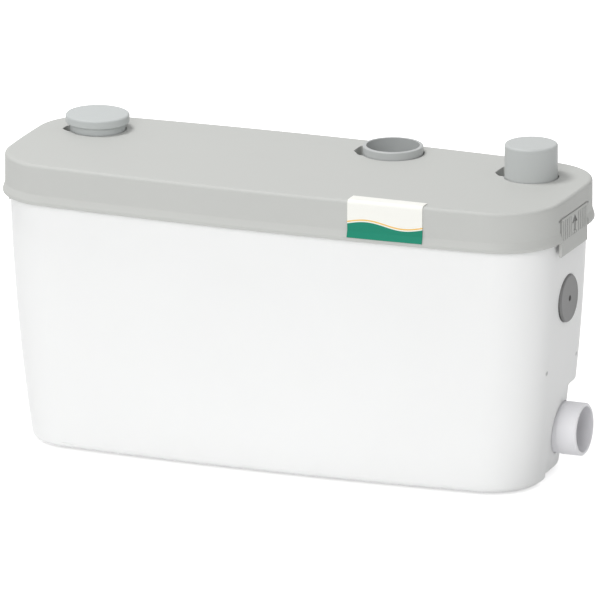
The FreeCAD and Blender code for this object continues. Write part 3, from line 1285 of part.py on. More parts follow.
def control_box():
    body = block(BOX_X0, BOX_X1, BOX_Y0, BOX_Y1, BOX_FLOOR_Z, BOX_TOP_Z)
    upright = [e for e in body.Edges if abs(e.BoundBox.ZLength - BOX_HEIGHT) < 1e-6]
    body = body.makeFillet(BOX_CORNER_R, upright)
    hollow = block(BOX_X0 + BOX_WALL, BOX_X1 - BOX_WALL, BOX_Y0 + BOX_WALL, BOX_Y1 - BOX_WALL,
                   BOX_FLOOR_Z + BOX_WALL, BOX_TOP_Z + 1)
    upright = [e for e in hollow.Edges if abs(e.BoundBox.ZLength - BOX_HEIGHT - 1 + BOX_WALL) < 1e-6]
    hollow = hollow.makeFillet(1.5, upright)
    body = body.cut(hollow)
    posts = []
    for x, y in lid_screw_places():
        posts.append(rod(3.6, BOX_HEIGHT - BOX_WALL, Vector(x, y, BOX_FLOOR_Z + BOX_WALL)))
    body = body.fuse(posts)
    lead = lead_points()[3]
    cuts = [rod(LEAD_D / 2 + HOLE_FIT, 9, lead - Vector(8, 0, 0), X),
            rod(NIPPLE_R + HOLE_FIT, 9, Vector(SWITCH_X, BOX_MID_Y, BOX_FLOOR_Z - 1)),
            rod(GLAND_R + HOLE_FIT, 9, Vector(GLAND_X, BOX_Y1 - 5, GLAND_AXIS_Z), Y)]
    hole_z = BOX_TOP_Z + LID_THICK - LID_SCREW_LENGTH - 1.5
    cuts.extend(screw_holes([Vector(x, y, hole_z) for x, y in lid_screw_places()],
                            LID_SCREW_LENGTH, Z))
    return body.cut(cuts)


def lid_screw_places():
    m = BOX_WALL + 2.5
    return [(x, y) for x in (BOX_X0 + m, BOX_X1 - m) for y in (BOX_Y0 + m, BOX_Y1 - m)]


def control_box_lid():
    lid = block(BOX_X0, BOX_X1, BOX_Y0, BOX_Y1, BOX_TOP_Z, BOX_TOP_Z + LID_THICK)
    upright = [e for e in lid.Edges if abs(e.BoundBox.ZLength - LID_THICK) < 1e-6]
    lid = lid.makeFillet(BOX_CORNER_R, upright)
    return lid.cut(screw_holes([Vector(x, y, BOX_TOP_Z - 1) for x, y in lid_screw_places()],
                               LID_THICK + 2.5, Z))


def lid_screws():
    return screws([Vector(x, y, BOX_TOP_Z + LID_THICK) for x, y in lid_screw_places()],
                  LID_SCREW_LENGTH, -Z)


def pressure_switch():
    """Diaphragm switch: round body on the box's floor, its nipple below and a plunger bore."""
    z = BOX_FLOOR_Z + BOX_WALL
    at = Vector(SWITCH_X, BOX_MID_Y, 0)
    drum = rod(SWITCH_R, SWITCH_HEIGHT, at + Vector(0, 0, z))
    drum = drum.makeFillet(2.0, outer_wires(drum, z + SWITCH_HEIGHT))
    nipple = rod(NIPPLE_R, z - hose_points()[3].z + 9, at + Vector(0, 0, hose_points()[3].z - 9))
    tower = block(SWITCH_X - TOWER_LENGTH / 2, SWITCH_X + TOWER_LENGTH / 2,
                  BOX_MID_Y - TOWER_WIDTH / 2, BOX_MID_Y + TOWER_WIDTH / 2,
                  z + SWITCH_HEIGHT - 0.5, z + SWITCH_HEIGHT + TOWER_HEIGHT)
    body = fuse([drum, nipple, tower])
    bore = rod(PLUNGER_R + SHAFT_FIT, 2 * SWITCH_HEIGHT,
               at + Vector(0, 0, z + SWITCH_HEIGHT - PLUNGER_SEAT))
    return body.cut(bore)


def switch_plunger():
    z = BOX_FLOOR_Z + BOX_WALL + SWITCH_HEIGHT - PLUNGER_SEAT + 0.3
    at = Vector(SWITCH_X, BOX_MID_Y, z)
    pin = rod(PLUNGER_R, PLUNGER_LENGTH, at)
    return pin.makeFillet(0.6, outer_wires(pin, z + PLUNGER_LENGTH))


def capacitor_axis():
    return Vector(BOX_X1 - BOX_WALL - 8, BOX_MID_Y, BOX_FLOOR_Z + BOX_WALL + CAPACITOR_R + 0.5)


def capacitor():
    end = capacitor_axis()
    can = rod(CAPACITOR_R, CAPACITOR_LENGTH, end - Vector(CAPACITOR_LENGTH, 0, 0), X)
    rims = [e for e in can.Edges if len(e.Vertexes) == 1]
    return can.makeFillet(1.2, rims)


def capacitor_strap():
    end = capacitor_axis()
    x = end.x - CAPACITOR_LENGTH / 2 - 5
    z0 = BOX_FLOOR_Z + BOX_WALL
    loop = ring(CAPACITOR_R + 1.4, CAPACITOR_R + 0.05, 10, Vector(x, end.y, end.z), X)
    upper = loop.common(block(x - 1, x + 11, end.y - 30, end.y + 30, z0, end.z + 30))
    feet = block(x, x + 10, end.y - CAPACITOR_R - 1.4, end.y + CAPACITOR_R + 1.4, z0, z0 + 1.2)
    legs = [block(x, x + 10, end.y + s * (CAPACITOR_R + 0.75) - 0.65,
                  end.y + s * (CAPACITOR_R + 0.75) + 0.65, z0, end.z) for s in (-1, 1)]
    body = fuse([upper, feet] + legs)
    return body.cut(rod(CAPACITOR_R + 0.05, 20, Vector(x - 5, end.y, end.z), X))


def terminal_block():
    """Row of four screw terminals on the box's rear wall."""
    x0 = BOX_X1 - BOX_WALL - 6.6 - 20
    y1 = BOX_Y1 - BOX_WALL
    z0 = BOX_TOP_Z - 19
    body = block(x0, x0 + 20, y1 - 11, y1, z0, z0 + 12)
    cuts = []
    for i in range(4):
        cuts.append(rod(1.5, 6, Vector(x0 + 2.5 + 5 * i, y1 - 12, z0 + 6), Y))
        if i:
            cuts.append(block(x0 + 5 * i - 0.4, x0 + 5 * i + 0.4, y1 - 12, y1 - 7, z0 - 1, z0 + 13))
    return body.cut(cuts)


def cable_gland():
    """Cable entry behind the tank: hexagon outside, threaded barrel into the control box."""
    seat_y = back_wall_y(GLAND_X, GLAND_AXIS_Z) - 0.8
    points = [polar(GLAND_R + 3.4, math.radians(60 * i)) for i in range(6)]
    corners = [Vector(GLAND_X + p.x, seat_y, GLAND_AXIS_Z + p.y) for p in points]
    hexagon = Part.Face(Part.makePolygon(corners + corners[:1])).extrude(Vector(0, GLAND_HEX, 0))
    nose_y = seat_y + GLAND_HEX + GLAND_NOSE
    nose = rod(GLAND_R - 0.6, GLAND_NOSE + 1, Vector(GLAND_X, nose_y - GLAND_NOSE - 1, GLAND_AXIS_Z), Y)
    low = BOX_Y1 - BOX_WALL - 6
    barrel = rod(GLAND_R, seat_y - low + 1, Vector(GLAND_X, low, GLAND_AXIS_Z), Y)
    start = Vector(GLAND_X, low - 1, GLAND_AXIS_Z)
    bores = [rod(CABLE_BORE_R, nose_y - low + 2, start, Y),
             rod(CABLE_BORE_R + GLAND_RELIEF, nose_y - GLAND_GRIP - low + 1, start, Y)]
    return fuse([hexagon, nose, barrel]).cut(bores)


def gland_nut():
    y1 = BOX_Y1 - BOX_WALL
    points = [polar(GLAND_R + 3.0, math.radians(60 * i)) for i in range(6)]
    corners = [Vector(GLAND_X + p.x, y1 - 3.5, GLAND_AXIS_Z + p.y) for p in points]
    hexagon = Part.Face(Part.makePolygon(corners + corners[:1])).extrude(Vector(0, 3.5, 0))
    return hexagon.cut(rod(GLAND_R + 0.05, 9, Vector(GLAND_X, y1 - 6, GLAND_AXIS_Z), Y))


X = Vector(1, 0, 0)
Y = Vector(0, 1, 0)
Z = Vector(0, 0, 1)

PIECES = [tank, rubber_pads, cover, cover_gasket, badge, right_clip, left_clip, inlet_collar,
          inlet_seal, blanked_socket, blanking_cap, vent_seat, vent_cap, filter_basket,
          carbon_cartridge, side_inlet_socket, side_flap, side_flap_pin, side_plug, pump_volute,
          pump_backplate, casing_screws, pump_bushes, pump_screws, suction_strainer, impeller,
          impeller_nut, pump_shaft, shaft_seal, motor_housing, motor_cap, motor_cap_screws,
          stator_core, stator_windings, rotor_core, lower_bearing, upper_bearing,
          discharge_sleeve, sleeve_bands, valve_housing, valve_hatch, hatch_screws, valve_pin,
          valve_flap, discharge_spigot, spigot_seal, pressure_bell, air_hose, motor_lead,
          control_box, control_box_lid, lid_screws, pressure_switch, switch_plunger, capacitor,
          capacitor_strap, terminal_block, cable_gland, gland_nut]

os.makedirs("parts", exist_ok=True)
for piece in PIECES:
    shape = piece()
    if not shape.isValid():
        print("not valid:", piece.__name__)
    shape.exportStep("parts/" + piece.__name__ + ".step")
    print(piece.__name__, "solids", len(shape.Solids), "volume", round(shape.Volume, 1))
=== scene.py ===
"""Looks of the sewage lifting station: finishes, badge, fine detail, stage and camera."""

import math

import bpy
from bpy.props import FloatProperty, FloatVectorProperty, PointerProperty
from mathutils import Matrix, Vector


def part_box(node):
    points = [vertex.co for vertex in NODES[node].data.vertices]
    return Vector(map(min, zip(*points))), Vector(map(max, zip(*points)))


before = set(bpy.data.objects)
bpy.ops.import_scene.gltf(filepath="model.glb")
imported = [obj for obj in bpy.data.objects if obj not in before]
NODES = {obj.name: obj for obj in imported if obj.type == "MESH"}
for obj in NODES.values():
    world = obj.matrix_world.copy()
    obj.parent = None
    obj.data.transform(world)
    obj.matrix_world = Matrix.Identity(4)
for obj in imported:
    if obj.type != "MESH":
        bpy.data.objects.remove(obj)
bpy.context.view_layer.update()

bl_info = {
    "name": "Sewage lifting station",
    "version": (1, 0, 0),
    "blender": (4, 5, 0),
    "location": "3D View > Sidebar > Station",
    "description": "Finishes, badge, fine detail and stage for a boxed lifting station",
    "category": "Object",
}


# Settings


def colour_setting(name, description, default):
    return FloatVectorProperty(name=name, description=description, default=default,
                               subtype="COLOR", size=3, min=0.0, max=1.0)


def length_setting(name, description, default):
    return FloatProperty(name=name, description=description, default=default,
                         unit="LENGTH", subtype="DISTANCE", min=0.0, precision=5)


def share_setting(name, description, default):
    return FloatProperty(name=name, description=description, default=default,
                         subtype="FACTOR", min=0.0, max=1.0)


def power_setting(name, description, default):
    return FloatProperty(name=name, description=description, default=default,
                         unit="POWER", min=0.0)


def angle_setting(name, description, degrees):
    return FloatProperty(name=name, description=description, default=math.radians(degrees),
                         unit="ROTATION", subtype="ANGLE")


class CaseSettings(bpy.types.PropertyGroup):
    tank_colour: colour_setting("Tank", "Smooth moulded tank", (0.86, 0.865, 0.862))
    tank_roughness: share_setting("Tank roughness", "Softness of its reflections", 0.34)
    cover_colour: colour_setting("Cover", "Satin moulded cover and clips", (0.522, 0.529, 0.511))
    cover_roughness: share_setting("Cover roughness", "Softness of its reflections", 0.62)
    grain_size: length_setting("Grain size", "Size of the moulded grain", 0.0009)
    # The dimple radius sizes both the bumps and the painted shade of the end wall's dimples
    dimple_radius: length_setting("Dimple radius", "Round marks on the end wall", 0.0022)
    # The arrow's height and the clips' pin length place painted shade on the clips
    arrow_height: length_setting("Arrow height", "Foot of the arrow's head on the clips", 0.2029)
    clip_pin_length: length_setting("Clip pin", "Length of the pins beside a clip's plate", 0.003)
    rubber_colour: colour_setting("Rubber", "Pads, gaskets and seals", (0.028, 0.028, 0.03))


class FittingSettings(bpy.types.PropertyGroup):
    collar_colour: colour_setting("Inlet collar", "Satin moulded collar", (0.447, 0.462, 0.46))
    cap_colour: colour_setting("Blanking cap", "Satin moulded cap", (0.502, 0.52, 0.515))
    vent_colour: colour_setting("Vent", "Vent cap and its seat", (0.525, 0.548, 0.545))
    plug_colour: colour_setting("Side plug", "Rubber plug in the end wall", (0.172, 0.172, 0.172))
    # The plug dimple's radius sizes a painted shade in the plug's middle
    plug_dimple_radius: length_setting("Plug dimple", "Radius of the shade in its middle", 0.0024)
    spigot_colour: colour_setting("Spigot", "Moulded discharge spigot", (0.865, 0.861, 0.885))
    carbon_colour: colour_setting("Carbon", "Foam of the vent's cartridge", (0.03, 0.03, 0.032))


class BadgeSettings(bpy.types.PropertyGroup):
    plate_colour: colour_setting("Plate", "Ground of the badge", (0.88, 0.878, 0.83))
    band_colour: colour_setting("Band", "Low band of the badge", (0.002, 0.222, 0.138))
    line_colour: colour_setting("Line", "Line over the band", (0.85, 0.52, 0.14))
    band_height: length_setting("Band height", "Height of the low band", 0.0105)
    wave_rise: length_setting("Wave rise", "Rise of the band's wave over its middle", 0.0022)
    line_width: length_setting("Line width", "Width of the line over the band", 0.0011)


class WorksSettings(bpy.types.PropertyGroup):
    pump_colour: colour_setting("Pump casing", "Filled moulded plastic", (0.03, 0.032, 0.035))
    impeller_colour: colour_setting("Impeller", "Moulded impeller", (0.02, 0.07, 0.2))
    motor_colour: colour_setting("Motor case", "Die cast housing", (0.42, 0.43, 0.44))
    steel_colour: colour_setting("Stainless steel", "Shaft, bands and pins", (0.55, 0.55, 0.56))
    screw_colour: colour_setting("Screws", "Plated screws and nut", (0.58, 0.58, 0.56))
    core_colour: colour_setting("Cores", "Stacks of laminations", (0.22, 0.23, 0.25))
    copper_colour: colour_setting("Windings", "Enamelled wire", (0.5, 0.16, 0.05))
    valve_colour: colour_setting("Valves", "Moulded valve parts", (0.4, 0.41, 0.42))
    flap_colour: colour_setting("Flaps", "Rubber flaps of the valves", (0.03, 0.03, 0.03))
    box_colour: colour_setting("Control box", "Moulded box and lid", (0.1, 0.105, 0.11))
    hose_colour: colour_setting("Air hose", "Silicone hose to the switch", (0.62, 0.62, 0.58))
    sheath_colour: colour_setting("Lead", "Sheath of the motor's lead", (0.018, 0.018, 0.02))
    can_colour: colour_setting("Capacitor", "Moulded can", (0.72, 0.72, 0.7))
    nylon_colour: colour_setting("Switch and terminals", "Natural nylon", (0.7, 0.69, 0.62))


class StageSettings(bpy.types.PropertyGroup):
    floor_colour: colour_setting("Floor", "Pale studio floor", (0.9, 0.9, 0.9))
    floor_glow: share_setting("Floor lift", "Light added to the floor for camera and gloss", 0.6)
    sky_level: share_setting("Fill", "Even light from all round on the object", 0.505)
    key_power: power_setting("Key lamp", "Large soft lamp at the front", 145.0)
    top_power: power_setting("Top lamp", "Soft lamp overhead", 26.0)
    azimuth: angle_setting("Camera azimuth", "Turn of the camera round the station", 21.42)
    elevation: angle_setting("Camera elevation", "Height angle of the camera", 15.95)
    distance: length_setting("Camera distance", "From the point it looks at", 20.548)
    lens: FloatProperty(name="Lens", default=1650.0, min=50.0, max=1700.0,
                        description="Focal length in millimetres")


SETTINGS = {
    "station_case": CaseSettings,
    "station_fittings": FittingSettings,
    "station_badge": BadgeSettings,
    "station_works": WorksSettings,
    "station_stage": StageSettings,
}


# Shader node groups


WHITE = (1.0, 1.0, 1.0)
NODE_STEP = 190
# Colour sockets of a Mix node, which share their names with its other kinds
MIX_FIRST, MIX_SECOND, MIX_RESULT = 6, 7, 2
SOCKET_KINDS = {"colour": "NodeSocketColor", "value": "NodeSocketFloat",
                "vector": "NodeSocketVector"}


class NodeSheet:
    """A node tree with short calls to add nodes and join them."""

    def __init__(self, tree):
        self.tree = tree
        self.column = len(tree.nodes)

    def add(self, kind, **settings):
        node = self.tree.nodes.new(kind)
        node.location = (self.column * NODE_STEP, 0)
        self.column += 1
        for key, value in settings.items():
            setattr(node, key, value)
        return node

    def join(self, source, target):
        self.tree.links.new(source, target)

    def give(self, socket, term):
        """Joins a socket to a term, or sets it where the term is a number or a colour."""
        if isinstance(term, bpy.types.NodeSocket):
            self.join(term, socket)
        elif socket.type == "RGBA":
            socket.default_value = (*term, 1.0)
        else:
            socket.default_value = term

    def value(self, operation, *terms):
        node = self.add("ShaderNodeMath", operation=operation)
        for socket, term in zip(node.inputs, terms):
            self.give(socket, term)
        return node.outputs[0]

    def product(self, first, *others):
        for other in others:
            first = self.value("MULTIPLY", first, other)
        return first

    def weighted(self, first, share, second):
        """The first value by its share, and the second one by the rest."""
        return self.value("ADD", self.product(first, share), self.product(second, 1.0 - share))

    def swing(self, source, span):
        """A value from 0 to 1 as a swing about 0."""
        return self.product(self.value("SUBTRACT", source, 0.5), span)

    def ramp(self, source, low, high, to_low=0.0, to_high=1.0):
        """Smooth step from one value to another between two limits, also from high to low."""
        node = self.add("ShaderNodeMapRange", interpolation_type="SMOOTHSTEP")
        self.give(node.inputs["Value"], source)
        for name, term in zip(("From Min", "From Max", "To Min", "To Max"),
                              (low, high, to_low, to_high)):
            self.give(node.inputs[name], term)
        return node.outputs[0]

    def within(self, source, low, high, low_fade, high_fade=None):
        """1 between two limits, with a smooth step just inside each of them."""
        return self.product(self.ramp(source, low, low + low_fade),
                            self.ramp(source, high, high - (high_fade or low_fade)))

    def blend(self, factor, first, second):
        node = self.add("ShaderNodeMix", data_type="RGBA")
        self.give(node.inputs["Factor"], factor)
        self.give(node.inputs[MIX_FIRST], first)
        self.give(node.inputs[MIX_SECOND], second)
        return node.outputs[MIX_RESULT]

    def noise(self, place, scale, detail):
        node = self.add("ShaderNodeTexNoise")
        self.give(node.inputs["Vector"], place)
        self.give(node.inputs["Scale"], scale)
        self.give(node.inputs["Detail"], detail)
        return node.outputs["Fac"]

    def place(self):
        """The object's own coordinates."""
        return self.add("ShaderNodeTexCoord").outputs["Object"]

    def facing(self):
        """The surface's normal in the world."""
        return self.add("ShaderNodeNewGeometry").outputs["Normal"]

    def axes(self, vector):
        """X, Y and Z of a vector."""
        split = self.add("ShaderNodeSeparateXYZ")
        self.join(vector, split.inputs[0])
        return split.outputs

    def stretch(self, place, scale):
        node = self.add("ShaderNodeMapping")
        self.give(node.inputs["Vector"], place)
        self.give(node.inputs["Scale"], scale)
        return node.outputs["Vector"]

    def away_on_end(self, place, spot):
        """Distance from a spot (y, z) as seen square on to the end walls."""
        node = self.add("ShaderNodeVectorMath", operation="DISTANCE")
        self.join(self.stretch(place, (0.0, 1.0, 1.0)), node.inputs[0])
        self.give(node.inputs[1], (0.0, *spot))
        return node.outputs["Value"]

    def bump(self, height, strength, depth, normal=None, invert=False):
        node = self.add("ShaderNodeBump", invert=invert)
        self.give(node.inputs["Strength"], strength)
        self.give(node.inputs["Distance"], depth)
        self.join(height, node.inputs["Height"])
        if normal is not None:
            self.join(normal, node.inputs["Normal"])
        return node.outputs["Normal"]

    def seen(self):
        """1 for camera, glossy and transmission rays, so that gloss shows the background too."""
        path = self.add("ShaderNodeLightPath")
        either = self.value("MAXIMUM", path.outputs["Is Camera Ray"],
                            path.outputs["Is Glossy Ray"])
        return self.value("MAXIMUM", either, path.outputs["Is Transmission Ray"])


def new_group(name, takes, gives):
    tree = bpy.data.node_groups.new(name, "ShaderNodeTree")
    for label, kind, default in takes:
        socket = tree.interface.new_socket(label, in_out="INPUT", socket_type=SOCKET_KINDS[kind])
        socket.default_value = (*default, 1.0) if kind == "colour" else default
    for label, kind in gives:
        tree.interface.new_socket(label, in_out="OUTPUT", socket_type=SOCKET_KINDS[kind])
    sheet = NodeSheet(tree)
    return sheet, sheet.add("NodeGroupInput").outputs, sheet.add("NodeGroupOutput").inputs


def moulded_grain():
    """Fine spark grain of a moulding, with slow drifts of tone and gloss."""
    sheet, given, made = new_group(
        "moulded_grain",
        [("Colour", "colour", (0.5, 0.5, 0.5)), ("Grain Scale", "value", 900.0),
         ("Roughness", "value", 0.5), ("Drift", "value", 0.04)],
        [("Colour", "colour"), ("Roughness", "value"), ("Height", "value")])
    pit_scale, fine_share, gloss_drift = 0.7, 0.6, 0.12
    place = sheet.place()
    fine = sheet.noise(place, given["Grain Scale"], detail=3.0)
    pits = sheet.add("ShaderNodeTexVoronoi")
    sheet.give(pits.inputs["Vector"], place)
    sheet.give(pits.inputs["Scale"], sheet.product(given["Grain Scale"], pit_scale))
    slow = sheet.noise(place, scale=9.0, detail=3.0)
    adjust = sheet.add("ShaderNodeHueSaturation")
    sheet.give(adjust.inputs["Color"], given["Colour"])
    sheet.give(adjust.inputs["Value"], sheet.value("ADD", sheet.swing(slow, given["Drift"]), 1.0))
    sheet.join(adjust.outputs["Color"], made["Colour"])
    sheet.join(sheet.value("ADD", given["Roughness"], sheet.swing(slow, gloss_drift)),
               made["Roughness"])
    sheet.join(sheet.weighted(fine, fine_share, pits.outputs["Distance"]), made["Height"])


def handling_marks():
    """Faint smudges and hairline scuffs that change the gloss."""
    sheet, given, made = new_group(
        "handling_marks", [("Amount", "value", 0.5)], [("Mask", "value")])
    smudge_share, hair_scale = 0.6, (60.0, 900.0, 1400.0)
    place = sheet.place()
    smudge = sheet.ramp(sheet.noise(place, scale=22.0, detail=4.0), low=0.52, high=0.7)
    hair = sheet.noise(sheet.stretch(place, hair_scale), scale=1.0, detail=2.0)
    both = sheet.weighted(smudge, smudge_share, sheet.ramp(hair, low=0.66, high=0.72))
    sheet.join(sheet.product(both, given["Amount"]), made["Mask"])


def settled_dust():
    """Thin dust on what faces up, uneven, as a mask."""
    sheet, given, made = new_group(
        "settled_dust", [("Amount", "value", 0.2)], [("Mask", "value")])
    up = sheet.ramp(sheet.axes(sheet.facing())["Z"], low=0.6, high=1.0)
    cloud = sheet.ramp(sheet.noise(sheet.place(), scale=70.0, detail=5.0), low=0.35, high=0.8)
    sheet.join(sheet.product(up, cloud, given["Amount"]), made["Mask"])


def worn_edges():
    """Mask of the sharp edges, broken up by noise, from the turn of a bevelled normal."""
    sheet, given, made = new_group(
        "worn_edges", [("Width", "value", 0.0008), ("Amount", "value", 0.5)],
        [("Mask", "value"), ("Normal", "vector")])
    bevel = sheet.add("ShaderNodeBevel", samples=4)
    sheet.give(bevel.inputs["Radius"], given["Width"])
    turn = sheet.add("ShaderNodeVectorMath", operation="DOT_PRODUCT")
    sheet.join(bevel.outputs["Normal"], turn.inputs[0])
    sheet.join(sheet.facing(), turn.inputs[1])
    edge = sheet.ramp(turn.outputs["Value"], low=0.99, high=0.86)
    broken = sheet.ramp(sheet.noise(sheet.place(), scale=260.0, detail=4.0), low=0.42, high=0.62)
    sheet.join(sheet.product(edge, broken, given["Amount"]), made["Mask"])
    sheet.join(bevel.outputs["Normal"], made["Normal"])


def drawn_lines():
    """Lines of drawn or brushed metal, long along X, as height and gloss."""
    sheet, given, made = new_group(
        "drawn_lines", [("Roughness", "value", 0.3), ("Fineness", "value", 1.0)],
        [("Roughness", "value"), ("Height", "value")])
    line_scale, gloss_span = (60.0, 2600.0, 2600.0), 0.35
    across = sheet.add("ShaderNodeVectorMath", operation="SCALE")
    sheet.give(across.inputs[0], sheet.stretch(sheet.place(), line_scale))
    sheet.give(across.inputs["Scale"], given["Fineness"])
    lines = sheet.noise(across.outputs[0], scale=1.0, detail=3.0)
    sheet.join(sheet.value("ADD", given["Roughness"], sheet.swing(lines, gloss_span)),
               made["Roughness"])
    sheet.join(lines, made["Height"])


GROUPS = {make.__name__: make for make in
          (moulded_grain, handling_marks, settled_dust, worn_edges, drawn_lines)}


def shared_group(sheet, name, **values):
    """Places a shared group, which is built at its first use, with its own values."""
    if name not in bpy.data.node_groups:
        GROUPS[name]()
    node = sheet.add("ShaderNodeGroup", node_tree=bpy.data.node_groups[name])
    for label, value in values.items():
        sheet.give(node.inputs[label.replace("_", " ")], value)
    return node


# Materials


EDGE_TONE, EDGE_SHARE = 0.8, 0.35
DUST_TONE, DUST_SHARE = 0.12, 0.55


def start_material(name):
    material = bpy.data.materials.new(name)
    material.use_nodes = True
    material.node_tree.nodes.clear()
    sheet = NodeSheet(material.node_tree)
    shader = sheet.add("ShaderNodeBsdfPrincipled")
    output = sheet.add("ShaderNodeOutputMaterial")
    sheet.join(shader.outputs[0], output.inputs[0])
    return material, sheet, shader


def set_gloss(sheet, shader, roughness, marks, marks_gloss):
    """Roughness of the surface, raised where hands have marked it."""
    rub = shared_group(sheet, "handling_marks", Amount=marks)
    sheet.join(sheet.value("ADD", roughness, sheet.product(rub.outputs["Mask"], marks_gloss)),
               shader.inputs["Roughness"])


def plastic(name, colour, roughness, grain_size=0.0009, grain_depth=0.00002, wear=0.25, dust=0.1,
            marks=0.4, specular=0.5, edge=0.0006):
    """Moulded plastic: grain, handling marks, dust on top, and edges that catch the light."""
    material, sheet, shader = start_material(name)
    grain = shared_group(sheet, "moulded_grain", Colour=colour, Grain_Scale=1.0 / grain_size,
                         Roughness=roughness).outputs
    skin, rounded = grain["Colour"], None
    if edge:
        edges = shared_group(sheet, "worn_edges", Width=edge, Amount=wear).outputs
        pale = tuple(c + (EDGE_TONE - c) * EDGE_SHARE for c in colour)
        skin, rounded = sheet.blend(edges["Mask"], skin, pale), edges["Normal"]
    if dust:
        settled = shared_group(sheet, "settled_dust", Amount=dust).outputs
        dull = tuple(c * DUST_SHARE + DUST_TONE for c in colour)
        skin = sheet.blend(settled["Mask"], skin, dull)
    sheet.join(skin, shader.inputs["Base Color"])
    set_gloss(sheet, shader, grain["Roughness"], marks, marks_gloss=0.12)
    sheet.join(sheet.bump(grain["Height"], strength=0.35, depth=grain_depth, normal=rounded),
               shader.inputs["Normal"])
    shader.inputs["Specular IOR Level"].default_value = specular
    return material


def rubber(name, colour, roughness=0.7, dust=0.35):
    """Dull rubber: finer, deeper grain than a moulding, and more marks."""
    return plastic(name, colour, roughness, grain_size=0.0006, grain_depth=0.00004, wear=0.15,
                   dust=dust, marks=0.8, specular=0.35)


def metal(name, colour, roughness, fineness=1.0, wear=0.3, marks=0.6, edge=0.0004,
          line_depth=0.00002, edge_gain=1.25):
    """Drawn or brushed metal: fine lines, handling marks and brighter edges."""
    material, sheet, shader = start_material(name)
    lines = shared_group(sheet, "drawn_lines", Roughness=roughness, Fineness=fineness).outputs
    edges = shared_group(sheet, "worn_edges", Width=edge, Amount=wear).outputs
    bright = tuple(min(1.0, c * edge_gain) for c in colour)
    sheet.join(sheet.blend(edges["Mask"], colour, bright), shader.inputs["Base Color"])
    set_gloss(sheet, shader, lines["Roughness"], marks, marks_gloss=0.15)
    sheet.join(sheet.bump(lines["Height"], strength=0.3, depth=line_depth,
                          normal=edges["Normal"]), shader.inputs["Normal"])
    shader.inputs["Metallic"].default_value = 1.0
    return material


def input_source(material, name):
    """An input of the material's shader, and what is joined to it."""
    shader = next(n for n in material.node_tree.nodes if n.type == "BSDF_PRINCIPLED")
    return shader.inputs[name], shader.inputs[name].links[0].from_socket


def paint_shade(material, sheet, mask, colour, share):
    """Paints shade: blends the base colour towards a share of a colour where the mask is set."""
    socket, skin = input_source(material, "Base Color")
    sheet.join(sheet.blend(mask, skin, tuple(c * share for c in colour)), socket)


def dress(material, *nodes):
    """Gives CAD nodes one material."""
    for name in nodes:
        node = NODES[name]
        node.data.materials.clear()
        node.data.materials.append(material)


# Finishes of the pieces


# Dimples on the tank's right end wall, as (y, z), and where that wall begins along X. Their
# painted shade is full within a core, a share of their radius.
DIMPLES = ((-0.0322, 0.0922), (0.0281, 0.0917))
END_WALL, END_WALL_FULL = 0.19, 0.2
DIMPLE_CORE, DIMPLE_SHADE = 0.4, 0.7

# Clips: depths behind the outer face, half widths from the middle line, and heights from the
# foot of the arrow's head, which bound the painted shade in their grooves, slits and arrow pit
SUNK_FROM, SUNK_TO, SUNK_FADE = 0.0001, 0.0010, 0.0002
PIT_HALF_WIDTH, PIT_SIDE_FADE = 0.0060, 0.0002
PIT_BELOW, PIT_BELOW_FADE = 0.0072, 0.0006
PIT_ABOVE, PIT_ABOVE_FADE = 0.0067, 0.0005
HEAD_FADE = 0.0004
GROOVES_HALF_WIDTH, GROOVES_SIDE_FADE = 0.0258, 0.0004
GROOVES_BELOW, GROOVES_BELOW_FADE = 0.0092, 0.0006
SLIT_START, SLIT_FULL, SLIT_FOOT_FADE = 0.0009, 0.0002, 0.001
# Strength of the painted shade in the arrow's shaft and head, in the grooves and along the slits
SHAFT_SHADE, HEAD_SHADE, GROOVE_SHADE, SLIT_SHADE = 0.3, 0.8, 0.35, 0.5


